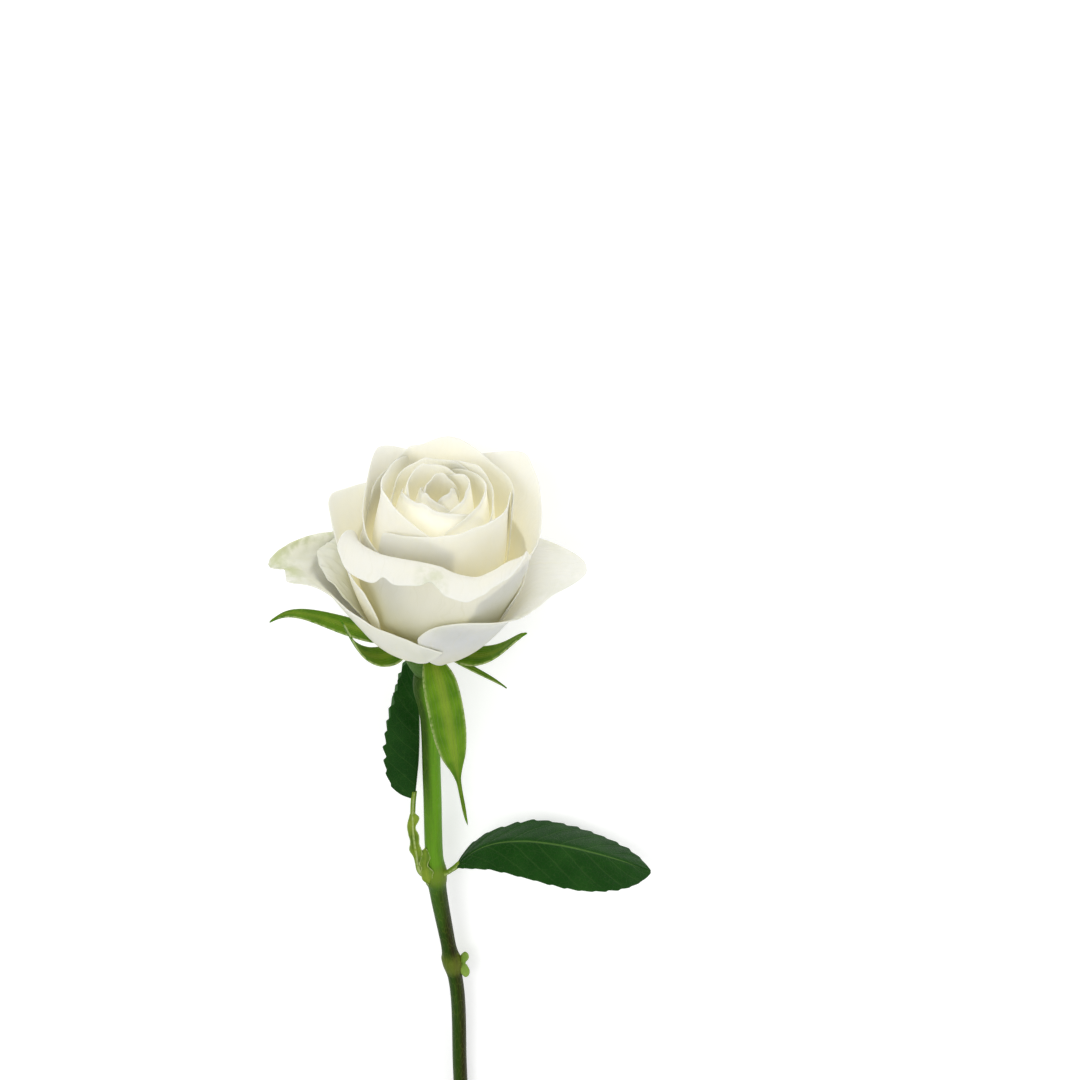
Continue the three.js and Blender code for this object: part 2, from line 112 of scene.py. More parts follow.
def smooth_line(points: Sequence[Sequence[float]], count: int) -> np.ndarray:
    """Draws a smooth line through some points.

    Args:
        points: the points that the line passes through.
        count: how many points to return.

    Returns:
        Points evenly spaced along the line, as an array of count rows.
    """
    given = np.array(points, float)
    given = np.vstack([2 * given[0] - given[1], given, 2 * given[-1] - given[-2]])
    fine = []
    for k in range(1, len(given) - 2):
        p0, p1, p2, p3 = given[k - 1 : k + 3]
        d0, d1, d2 = (np.linalg.norm(b - a) ** 0.5 for a, b in ((p0, p1), (p1, p2), (p2, p3)))
        leave = ((p1 - p0) / d0 - (p2 - p0) / (d0 + d1) + (p2 - p1) / d1) * d1
        arrive = ((p2 - p1) / d1 - (p3 - p1) / (d1 + d2) + (p3 - p2) / d2) * d1
        x = np.linspace(0, 1, 40, endpoint=False)[:, None]
        fine.append((2 * x**3 - 3 * x**2 + 1) * p1 + (x**3 - 2 * x**2 + x) * leave)
        fine[-1] += (3 * x**2 - 2 * x**3) * p2 + (x**3 - x**2) * arrive
    line = np.vstack(fine + [given[-2:-1]])
    run = np.concatenate([[0], np.cumsum(np.linalg.norm(np.diff(line, axis=0), axis=1))])
    wanted = np.linspace(0, run[-1], count)
    return np.stack([np.interp(wanted, run, line[:, axis]) for axis in range(3)], 1)


def unit(vectors: np.ndarray) -> np.ndarray:
    """Returns the vectors at length 1."""
    return vectors / np.maximum(np.linalg.norm(vectors, axis=-1, keepdims=True), 1e-9)


def normals(grid: np.ndarray) -> np.ndarray:
    """Returns the unit normal at each point of a grid that runs across, then along."""
    return unit(np.cross(np.gradient(grid, axis=0), np.gradient(grid, axis=1)))


def spread_out(columns: int, rows: int) -> tuple[np.ndarray, np.ndarray]:
    """Returns s, from -1 to 1 across, and t, from 0 to 1 along, at each point of a grid."""
    s = np.linspace(-1, 1, columns + 1)[:, None] + np.zeros((1, rows + 1))
    t = np.linspace(0, 1, rows + 1)[None, :] + np.zeros((columns + 1, 1))
    return s, t


def rough(grid: np.ndarray, size: float, seed: float) -> np.ndarray:
    """Reads a smooth uneven field.

    Args:
        grid: points to read it at.
        size: how far apart its humps are.
        seed: which part of the field to read.

    Returns:
        One value for each point, between about -1 and 1.
    """
    flat = grid.reshape(-1, 3) / size + seed
    return np.array([noise.noise(Vector(p)) for p in flat]).reshape(grid.shape[:-1])


# ---------------------------------------------------------------- the place of the rose


@dataclass
class Layout:
    """How the rose lies: the bloom at the +X end, its stem sinking to the surface behind it."""

    bloom_tilt: float = 12.0
    bloom_turn: float = -6.0
    stem_length: float = 270.0
    stem_end_radius: float = 2.5
    cut_slant: float = 30.0
    base: Vector = field(init=False)
    bloom: Matrix = field(init=False)
    rose: Matrix = field(init=False)

    def __post_init__(self) -> None:
        """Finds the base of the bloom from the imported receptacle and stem."""
        tilt = math.radians(self.bloom_tilt)
        upper = Vector((-math.sin(tilt), 0, math.cos(tilt)))
        axis = Vector((math.cos(tilt), 0, math.sin(tilt)))
        turn = Matrix.Rotation(math.radians(self.bloom_turn), 3, "Z")
        axes = turn @ Matrix((upper, Vector((0, -1, 0)), axis)).transposed()
        corners = [v.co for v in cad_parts["receptacle"].data.vertices]
        middle = sum(corners, Vector()) / len(corners)
        slant = self.stem_end_radius * math.tan(math.radians(self.cut_slant))
        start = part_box("stem")[0].x + (self.stem_length + slant) * MM
        direction = axes @ Vector((0, 0, 1))
        self.base = middle - direction * ((middle.x - start) / direction.x)
        self.rose = Matrix.Translation(self.base) @ Matrix.Scale(MM, 4)
        self.bloom = self.rose @ axes.to_4x4()

    def on_axis(self, height: float) -> np.ndarray:
        """Returns the point of the bloom's axis at this height, in the frame of the rose."""
        return np.array(self.rose.inverted() @ self.bloom @ Vector((0, 0, height)))

    def floor(self) -> float:
        """Returns the height of the surface that the rose lies on, in the frame of the rose."""
        return (cad_low.z - self.base.z) / MM


# ---------------------------------------------------------------- meshes


def finish_mesh(name: str, bm: bmesh.types.BMesh, place: Matrix) -> bpy.types.Object:
    """Turns a bmesh into a smooth-shaded object whose place is in its mesh.

    Args:
        name: the object's name.
        bm: the shape, which is freed.
        place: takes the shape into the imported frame.

    Returns:
        The new object, linked into the scene.
    """
    bmesh.ops.transform(bm, matrix=place, verts=bm.verts)
    for face in bm.faces:
        face.smooth = True
    mesh = bpy.data.meshes.new(name)
    bm.to_mesh(mesh)
    bm.free()
    piece = bpy.data.objects.new(name, mesh)
    bpy.context.scene.collection.objects.link(piece)
    return piece


def grid_shape(grid: np.ndarray) -> bmesh.types.BMesh:
    """Makes an open sheet of faces with a UV map.

    Args:
        grid: where the corners of the faces lie, columns across and rows along.

    Returns:
        The sheet.
    """
    columns, rows = grid.shape[0] - 1, grid.shape[1] - 1
    bm = bmesh.new()
    bm.loops.layers.uv.new(UV_LAYER)
    bmesh.ops.create_grid(bm, x_segments=columns, y_segments=rows, size=1, calc_uvs=True)
    for vert in bm.verts:
        i = round((vert.co.x + 1) / 2 * columns)
        j = round((vert.co.y + 1) / 2 * rows)
        vert.co = grid[i, j]
    return bm


def sheet(name: str, grid: np.ndarray, thickness: float, place: Matrix) -> bpy.types.Object:
    """Makes a thin closed sheet around a grid of points.

    Args:
        name: the object's name.
        grid: the middle surface, in millimetres.
        thickness: the sheet's thickness, in millimetres.
        place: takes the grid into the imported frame.

    Returns:
        The sheet, with its outer face in material slot 0 and its inner face in slot 1.
    """
    piece = finish_mesh(name, grid_shape(grid), place)
    wall = piece.modifiers.new("wall", "SOLIDIFY")
    wall.thickness = thickness * MM
    wall.offset = 0
    wall.use_even_offset = False
    wall.material_offset = 1
    soft = piece.modifiers.new("soft", "SUBSURF")
    soft.levels = soft.render_levels = 1
    return piece


def tube(
    name: str,
    line: np.ndarray,
    radius: Callable[[np.ndarray, np.ndarray], np.ndarray],
    place: Matrix,
    around: int = 24,
    slant: float = 0.0,
) -> bpy.types.Object:
    """Makes a closed tube along a line.

    Args:
        name: the object's name.
        line: evenly spaced points along the middle of the tube.
        radius: gives the radius at an angle around the tube and a place from 0 to 1 along it.
        place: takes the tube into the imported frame.
        around: how many corners a ring has.
        slant: the slope of the cut at the tube's end.

    Returns:
        The tube, with its end faces in material slot 1.
    """
    rows = len(line) - 1
    along = unit(np.gradient(line, axis=0))
    side = unit(np.cross(np.array([0.0, 0.0, 1.0]), along))
    up = np.cross(along, side)
    angle = np.linspace(0, 2 * np.pi, around + 1)[:, None] + np.zeros((1, rows + 1))
    t = np.linspace(0, 1, rows + 1)[None, :] + np.zeros((around + 1, 1))
    reach = radius(angle, t)[..., None]
    grid = line[None] + reach * (np.cos(angle)[..., None] * up - np.sin(angle)[..., None] * side)
    grid[:, -1] -= along[-1] * reach[:, -1] * np.cos(angle)[:, -1, None] * slant
    bm = grid_shape(grid)
    bmesh.ops.remove_doubles(bm, verts=bm.verts, dist=0.001)
    caps = bmesh.ops.holes_fill(bm, edges=[e for e in bm.edges if e.is_boundary], sides=0)["faces"]
    bmesh.ops.recalc_face_normals(bm, faces=bm.faces)
    rim = bmesh.ops.inset_region(bm, faces=caps, thickness=0.35, depth=0.0)["faces"]
    pith = bmesh.ops.inset_region(bm, faces=caps, thickness=0.5, depth=0.12)["faces"]
    for face in [*caps, *rim, *pith]:
        face.material_index = 1
    return finish_mesh(name, bm, place)


# ---------------------------------------------------------------- shader expressions


class Expr:
    """A shader socket that can be used in Python expressions."""

    def __init__(self, graph: "Graph", socket: bpy.types.NodeSocket) -> None:
        """Keeps the socket and the graph that it belongs to."""
        self.graph = graph
        self.socket = socket

    def _math(self, operation: str, *values: "Value") -> "Expr":
        """Returns the result of a Math node fed with the values."""
        return self.graph.node("ShaderNodeMath", {"operation": operation}, dict(enumerate(values)))

    def __add__(self, other: "Value") -> "Expr":
        """Returns the sum."""
        return self._math("ADD", self, other)

    __radd__ = __add__

    def __sub__(self, other: "Value") -> "Expr":
        """Returns the difference."""
        return self._math("SUBTRACT", self, other)

    def __rsub__(self, other: "Value") -> "Expr":
        """Returns other minus this."""
        return self._math("SUBTRACT", other, self)

    def __mul__(self, other: "Value") -> "Expr":
        """Returns the product."""
        return self._math("MULTIPLY", self, other)

    __rmul__ = __mul__

    def __truediv__(self, other: "Value") -> "Expr":
        """Returns the quotient."""
        return self._math("DIVIDE", self, other)

    def __abs__(self) -> "Expr":
        """Returns the size without its sign."""
        return self._math("ABSOLUTE", self)

    def least(self, other: "Value") -> "Expr":
        """Returns the smaller of the two."""
        return self._math("MINIMUM", self, other)

    def most(self, other: "Value") -> "Expr":
        """Returns the larger of the two."""
        return self._math("MAXIMUM", self, other)

    def limited(self) -> "Expr":
        """Returns the value held between 0 and 1."""
        return self.most(0.0).least(1.0)

    def sine(self) -> "Expr":
        """Returns the sine."""
        return self._math("SINE", self)

    def line(self, width: float) -> "Expr":
        """Returns 1 where the value is a whole number, falling to 0 within the width."""
        apart = abs(self._math("FRACT", self) - 0.5)
        return ((apart - (0.5 - width)) / width).limited()

    def step(self, low: float, high: float) -> "Expr":
        """Returns a smooth step from 0 at low to 1 at high."""
        x = ((self - low) / (high - low)).limited()
        return x * x * (3.0 - 2.0 * x)


Value = Union[Expr, float, Colour]


class Graph:
    """The nodes of one material, around one Principled shader."""

    def __init__(self, name: str, constants: dict[str, object]) -> None:
        """Starts a material.

        Args:
            name: the material's name.
            constants: values set on the shader's own sockets.
        """
        self.material = bpy.data.materials.new(name)
        self.material.use_nodes = True
        self.tree = self.material.node_tree
        self.tree.nodes.clear()
        self.shader = self.tree.nodes.new("ShaderNodeBsdfPrincipled")
        output = self.tree.nodes.new("ShaderNodeOutputMaterial")
        self.tree.links.new(self.shader.outputs[0], output.inputs["Surface"])
        for socket, value in constants.items():
            self.feed(self.shader.inputs[socket], value)

    def feed(self, socket: bpy.types.NodeSocket, value: object) -> None:
        """Links an expression to a socket, or sets the socket to a number or colour.

        Args:
            socket: the socket to feed.
            value: what feeds it.
        """
        if isinstance(value, Expr):
            self.tree.links.new(value.socket, socket)
        elif isinstance(value, tuple) and len(socket.default_value) == 4:
            socket.default_value = (*value, 1.0)
        else:
            socket.default_value = value

    def node(
        self,
        kind: str,
        settings: Optional[dict[str, object]] = None,
        inputs: Optional[dict[Union[int, str], object]] = None,
        output: Union[int, str] = 0,
    ) -> Expr:
        """Adds a node.

        Args:
            kind: the node's type.
            settings: its own properties, and under "stops" a ramp's places and colours.
            inputs: a value or an expression for each socket, by name or number.
            output: which output to return.

        Returns:
            The chosen output as an expression.
        """
        node = self.tree.nodes.new(kind)
        for setting, value in (settings or {}).items():
            if setting == "stops":
                self._stops(node, value)
            else:
                setattr(node, setting, value)
        for socket, value in (inputs or {}).items():
            self.feed(node.inputs[socket], value)
        return Expr(self, node.outputs[output])

    @staticmethod
    def _stops(node: bpy.types.Node, stops: Sequence[tuple[float, Colour]]) -> None:
        """Sets a colour ramp's stops.

        Args:
            node: the colour ramp.
            stops: each stop's place and colour.
        """
        ramp = node.color_ramp.elements
        while len(ramp) < len(stops):
            ramp.new(0.5)
        for element, (place, colour) in zip(ramp, stops):
            element.position = place
            element.color = (*colour, 1.0)

    def mix(self, share: Value, first: Value, second: Value) -> Expr:
        """Returns a colour that goes from first to second as share goes from 0 to 1."""
        return self.node("ShaderNodeMix", {"data_type": "RGBA"}, {0: share, 6: first, 7: second}, 2)

    def ramp(self, value: Value, stops: Sequence[tuple[float, Colour]]) -> Expr:
        """Returns the colour that a ramp gives to a value."""
        return self.node("ShaderNodeValToRGB", {"stops": stops}, {0: value})

    def place(self) -> Expr:
        """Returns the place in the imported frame, in metres."""
        return self.node("ShaderNodeTexCoord", output="Object")

    def parts(self, vector: Expr) -> tuple[Expr, Expr, Expr]:
        """Returns a vector's three parts."""
        split = self.node("ShaderNodeSeparateXYZ", inputs={0: vector})
        outputs = split.socket.node.outputs
        return tuple(Expr(self, socket) for socket in outputs)

    def across_and_along(self) -> tuple[Expr, Expr]:
        """Returns s, from -1 to 1 across a sheet, and t, from 0 to 1 along it."""
        u, v, _ = self.parts(self.node("ShaderNodeUVMap", {"uv_map": UV_LAYER}))
        return u * 2.0 - 1.0, v

    def joined(self, x: Value, y: Value, z: Value = 0.0) -> Expr:
        """Returns a vector made of three values."""
        return self.node("ShaderNodeCombineXYZ", inputs={0: x, 1: y, 2: z})

    def uneven(self, vector: Expr, scale: float, detail: float) -> Expr:
        """Returns a smooth noise between 0 and 1."""
        inputs = {"Vector": vector, "Scale": scale, "Detail": detail, "Roughness": 0.5}
        return self.node("ShaderNodeTexNoise", inputs=inputs)

    def cells(self, vector: Expr, scale: float) -> Expr:
        """Returns the distance to the edge of the nearest cell of an uneven net."""
        settings = {"feature": "DISTANCE_TO_EDGE"}
        inputs = {"Vector": vector, "Scale": scale}
        return self.node("ShaderNodeTexVoronoi", settings, inputs, "Distance")

    def relief(self, height: Value, depth: float, strength: float) -> None:
        """Raises the surface by a height map, whose 1 stands depth metres high."""
        inputs = {"Height": height, "Distance": depth, "Strength": strength}
        self.feed(self.shader.inputs["Normal"], self.node("ShaderNodeBump", inputs=inputs))

    def colour(self, value: Value) -> None:
        """Sets the base colour."""
        self.feed(self.shader.inputs["Base Color"], value)

    def roughness(self, value: Value) -> None:
        """Sets the roughness."""
        self.feed(self.shader.inputs["Roughness"], value)


# ---------------------------------------------------------------- finishes


@dataclass(frozen=True)
class PetalFinish:
    """A petal's skin: white with a cream throat, fine veins, a faintly green rim and, where set, a
    painted glow of light.
    """

    name: str
    blade: Colour = (0.89, 0.87, 0.735)
    shade: Colour = (0.875, 0.85, 0.68)
    throat: Colour = (0.88, 0.82, 0.47)
    rim: Colour = (0.83, 0.83, 0.72)
    throat_reach: float = 0.75
    glow: float = 0.5
    # painted_glow is painted light: an emission that makes the lower petal glow as if light filled the
    # cup.
    painted_glow: float = 0.0
    painted_glow_reach: float = 0.4
    painted_glow_colour: Colour = (1.0, 0.93, 0.64)
    green: float = 0.0
    green_at: float = 0.0
    green_width: float = 3.0
    green_tint: Colour = (0.42, 0.47, 0.20)

    def make(self) -> bpy.types.Material:
        """Returns the material."""
        constants = {
            "Subsurface Weight": self.glow,
            "Subsurface Radius": (1.0, 0.9, 0.62),
            "Subsurface Scale": 0.008,
            "Specular IOR Level": 0.3,
            "Emission Strength": self.painted_glow,
        }
        graph = Graph(self.name, constants)
        place = graph.place()
        s, t = graph.across_and_along()
        patches = graph.uneven(place, 55.0, 4.0)
        colour = graph.mix(patches.step(0.35, 0.75), self.blade, self.shade)
        colour = graph.mix((1.0 - t).step(1.0 - self.throat_reach, 1.0), colour, self.throat)
        rim = t.step(0.93, 1.0).most(abs(s).step(0.94, 1.0))
        colour = graph.mix(rim * 0.6, colour, self.rim)
        wander = graph.uneven(graph.joined(s * 3.0, t * 5.0), 1.0, 2.0) * 0.35
        veins = graph.uneven(graph.joined((s + wander) * 30.0, t * 2.2), 1.0, 2.0)
        colour = graph.mix(veins.step(0.52, 0.78) * 0.14, colour, self.throat)
        if self.green:
            stain = graph.uneven(place, 160.0, 4.0).step(0.38, 0.66) * t.step(0.78, 1.0)
            away = abs(s - self.green_at).step(self.green_width * 0.5, self.green_width)
            stain = stain * (1.0 - away)
            colour = graph.mix(stain * self.green, colour, self.green_tint)
        graph.colour(colour)
        # Painted light: a cream glow over the lower part of the petal, fading out towards the rim.
        if self.painted_glow:
            deep = (1.0 - t).step(0.0, self.painted_glow_reach)
            glow = graph.mix(deep, (0.0, 0.0, 0.0), self.painted_glow_colour)
            graph.feed(graph.shader.inputs["Emission Color"], glow)
        graph.roughness(0.5 + patches * 0.16)
        skin = graph.cells(place, 2600.0).limited()
        graph.relief(veins * 0.8 + graph.uneven(place, 420.0, 3.0) * 0.5 + skin * 0.25, 0.00022, 0.7)
        return graph.material


@dataclass(frozen=True)
class GreenSkin:
    """The skin of a sepal, a receptacle or a bud: green with darker veins and a downy edge."""

    name: str
    blade: Colour = (0.09, 0.24, 0.008)
    dark: Colour = (0.035, 0.12, 0.004)
    edge: Colour = (0.42, 0.50, 0.20)
    spine: Colour = (0.27, 0.36, 0.04)
    veins: float = 5.0
    roughness: float = 0.5

    def make(self) -> bpy.types.Material:
        """Returns the material."""
        graph = Graph(self.name, {"Specular IOR Level": 0.06})
        place = graph.place()
        s, t = graph.across_and_along()
        patches = graph.uneven(place, 130.0, 4.0)
        colour = graph.mix(patches.step(0.3, 0.72), self.dark, self.blade)
        wander = graph.uneven(graph.joined(s * 2.0, t * 6.0), 1.0, 2.0) * 0.3
        lines = ((s + wander) * self.veins).line(0.22)
        colour = graph.mix(lines * 0.1, colour, self.edge)
        spine = (1.0 - abs(s).step(0.05, 0.45)) * (1.0 - t * 0.5)
        colour = graph.mix(spine * 0.55, colour, self.spine)
        down = abs(s).step(0.78, 1.0) * graph.uneven(place, 900.0, 2.0).step(0.25, 0.6)
        colour = graph.mix(down * 0.8, colour, self.edge)
        graph.colour(colour)
        graph.roughness(self.roughness + patches * 0.15)
        fuzz = graph.uneven(place, 2500.0, 2.0)
        graph.relief(lines * 0.6 + fuzz * 0.7 + patches * 0.5, 0.0003, 0.8)
        return graph.material


@dataclass(frozen=True)
class LeafFinish:
    """A leaf's skin: dark glossy green with a pale midrib, side veins and a fine net of veins."""

    name: str
    blade: Colour = (0.007, 0.048, 0.004)
    light: Colour = (0.014, 0.068, 0.007)
    vein: Colour = (0.12, 0.24, 0.05)
    side_veins: float = 9.0
    vein_lean: float = 1.6
    vein_strength: float = 0.55
    roughness: float = 0.36

    def make(self) -> bpy.types.Material:
        """Returns the material."""
        graph = Graph(self.name, {"Specular IOR Level": 0.07})
        place = graph.place()
        s, t = graph.across_and_along()
        patches = graph.uneven(place, 90.0, 4.0)
        colour = graph.mix(patches.step(0.35, 0.75), self.blade, self.light)
        wander = graph.uneven(graph.joined(s * 2.5, t * 6.0), 1.0, 2.0) * 0.25
        side = (t * self.side_veins - abs(s) * self.vein_lean + wander).line(0.06)
        side = side * (1.0 - abs(s).step(0.75, 1.0))
        middle = 1.0 - abs(s).step(0.01, 0.045)
        net = 1.0 - graph.cells(place, 700.0).step(0.0, 0.07)
        pale = middle.most(side * 0.25).most(net * 0.16)
        colour = graph.mix(pale * self.vein_strength, colour, self.vein)
        graph.colour(colour)
        graph.roughness(self.roughness + patches * 0.18)
        fine = graph.uneven(place, 1500.0, 2.0)
        graph.relief(fine * 0.35 - net * 0.5 - side * 0.6 - middle * 0.8, 0.00025, 0.8)
        return graph.material


@dataclass(frozen=True)
class StemFinish:
    """A stem's bark: bright green under the bloom, with painted shade on its left side there, turning
    to a dark olive below the nodes.
    """

    name: str
    bright: Colour = (0.12, 0.29, 0.014)
    middle: Colour = (0.045, 0.12, 0.008)
    dark: Colour = (0.018, 0.052, 0.001)
    brown: Colour = (0.020, 0.014, 0.001)
    node_tint: Colour = (0.22, 0.27, 0.03)
    nodes: tuple[float, ...] = (0.0,)

    def make(self) -> bpy.types.Material:
        """Returns the material."""
        graph = Graph(self.name, {"Specular IOR Level": 0.08})
        place = graph.place()
        x, _, _ = graph.parts(place)
        s, t = graph.across_and_along()
        streaks = graph.uneven(graph.joined(s * 14.0, t * 12.0), 1.0, 3.0)
        patches = graph.uneven(place, 60.0, 4.0)
        down = (t + (patches - 0.5) * 0.12).limited()
        stops = ((0.0, self.middle), (0.06, self.bright), (0.3, self.bright), (0.345, self.middle),
                 (0.42, self.dark), (1.0, self.dark))
        colour = graph.ramp(down, stops)
        side = (s * math.pi).sine()
        tan = side.step(-0.3, 0.6) * down.step(0.32, 0.4)
        colour = graph.mix(tan * 0.85, colour, self.brown)
        # Painted shade: the left side of the stem just under the bloom is darkened towards the dark
        # green.
        shaded = (0.0 - side).step(-0.35, 0.5) * (1.0 - down.step(0.12, 0.3))
        colour = graph.mix(shaded * 0.92, colour, self.dark)
        colour = graph.mix(streaks.step(0.45, 0.8) * 0.35, colour, self.middle)
        for node in self.nodes:
            ring = 1.0 - abs(x - node).step(0.001, 0.006)
            colour = graph.mix(ring * patches.step(0.25, 0.6) * 0.55, colour, self.node_tint)
        specks = 1.0 - graph.cells(graph.joined(s * 9.0, t * 60.0), 1.0).step(0.0, 0.08)
        colour = graph.mix(specks * 0.12, colour, self.node_tint)
        graph.colour(colour)
        graph.roughness(0.34 + patches * 0.2)
        fine = graph.uneven(place, 1200.0, 2.0)
        graph.relief(streaks * 0.7 + fine * 0.3 + specks * 0.3, 0.0003, 0.7)
        return graph.material


@dataclass(frozen=True)
class PithFinish:
    """The cut face of the stem: a pale pith in a moist green ring."""

    name: str
    pith: Colour = (0.62, 0.64, 0.40)
    ring: Colour = (0.22, 0.33, 0.09)

    def make(self) -> bpy.types.Material:
        """Returns the material."""
        graph = Graph(self.name, {"Specular IOR Level": 0.45})
        place = graph.place()
        spots = graph.cells(place, 1800.0)
        patches = graph.uneven(place, 500.0, 3.0)
        colour = graph.mix(patches.step(0.45, 0.7), self.pith, self.ring)
        graph.colour(colour)
        graph.roughness(0.5 + patches * 0.2)
        graph.relief(spots, 0.0002, 0.8)
        return graph.material


class Skin(Enum):
    """The finishes that the pieces of the rose wear."""

    # The heart, inner and cup skins carry painted light: an emission glow that lifts the lower petals
    # as if light filled the bloom.
    HEART = PetalFinish(
        "heart_petal_skin", throat_reach=0.95, glow=0.6,
        painted_glow=0.24, painted_glow_reach=0.07, painted_glow_colour=(1.0, 0.96, 0.8),
    )
    INSIDE = PetalFinish(
        "petal_inner_skin", blade=(0.86, 0.845, 0.73), throat=(0.82, 0.75, 0.42),
        throat_reach=0.9, painted_glow=0.18,
    )
    CUP = PetalFinish("cup_petal_skin", blade=(0.9, 0.885, 0.78), throat_reach=0.9, painted_glow=0.1)
    GUARD = PetalFinish(
        "guard_petal_skin", blade=(0.85, 0.85, 0.79), shade=(0.77, 0.775, 0.68), green=0.2, glow=0.45
    )
    # The lip's throat is darker than the others'. Part of it is the petal's cream base and part is
    # painted shade on the lower outer face under the rolled lip.
    LIP = PetalFinish(
        "lip_petal_skin", throat=(0.6, 0.58, 0.30), throat_reach=0.95,
        green=0.6, green_at=0.05, green_width=0.2,
    )
    WILTED = PetalFinish(
        "wilted_petal_skin", blade=(0.82, 0.82, 0.70), shade=(0.72, 0.73, 0.56), glow=0.3,
        green=0.9, green_at=-0.65, green_width=0.55,
    )
    SEPAL = GreenSkin("sepal_skin")
    SEPAL_INSIDE = GreenSkin(
        "sepal_inner_skin", blade=(0.14, 0.28, 0.012), dark=(0.07, 0.18, 0.006)
    )
    # The receptacle is a darker green than the sepals: its own green with painted shade from the
    # petals that hang over it.
    CALYX = GreenSkin(
        "calyx_skin_painted_shade", blade=(0.05, 0.14, 0.012), dark=(0.02, 0.07, 0.005),
        edge=(0.08, 0.16, 0.03), veins=7.0,
    )
    BUD = GreenSkin("bud_skin", blade=(0.26, 0.40, 0.07), dark=(0.14, 0.26, 0.03))
    STIPULE = GreenSkin("stipule_skin", blade=(0.24, 0.34, 0.03), dark=(0.12, 0.22, 0.02), veins=3.0)
    LEAF = LeafFinish("leaf_skin")
    LEAF_UNDER = LeafFinish(
        "leaf_underside", blade=(0.06, 0.14, 0.05), light=(0.09, 0.19, 0.07), vein_strength=0.8,
        roughness=0.55,
    )
    PITH = PithFinish("cut_pith")


class Wardrobe:
    """Makes each finish's material once."""

    def __init__(self) -> None:
        """Starts empty."""
        self.made: dict[str, bpy.types.Material] = {}

    def dress(self, piece: bpy.types.Object, *skins: Union[Skin, StemFinish]) -> None:
        """Puts finishes into a piece's material slots.

        Args:
            piece: the object to dress.
            skins: its finishes, in the order of the slots.
        """
        for skin in skins:
            finish = skin.value if isinstance(skin, Skin) else skin
            if finish.name not in self.made:
                self.made[finish.name] = finish.make()
            piece.data.materials.append(self.made[finish.name])


# ---------------------------------------------------------------- blades: petals and sepals


@dataclass(frozen=True)
class Outline:
    """How wide a blade is along its length, as shares of its half width."""

    neck: float
    widest: float
    crown: float
    fullness: float

    def width(self, t: np.ndarray) -> np.ndarray:
        """Works out how wide the blade is.

        Args:
            t: places along the blade, from 0 to 1.

        Returns:
            The share of the half width at each place.
        """
        t = np.clip(t, 0, 1)
        rise = np.sin(np.pi / 2 * np.minimum(t / self.widest, 1)) ** self.fullness
        below = self.neck + (1 - self.neck) * rise
        above = 1 - (1 - self.crown) * ((t - self.widest) / (1 - self.widest)) ** 2
        return np.where(t < self.widest, below, above)


PETAL = Outline(neck=0.24, widest=0.62, crown=0.8, fullness=1.2)
SEPAL = Outline(neck=0.9, widest=0.12, crown=0.06, fullness=1.0)


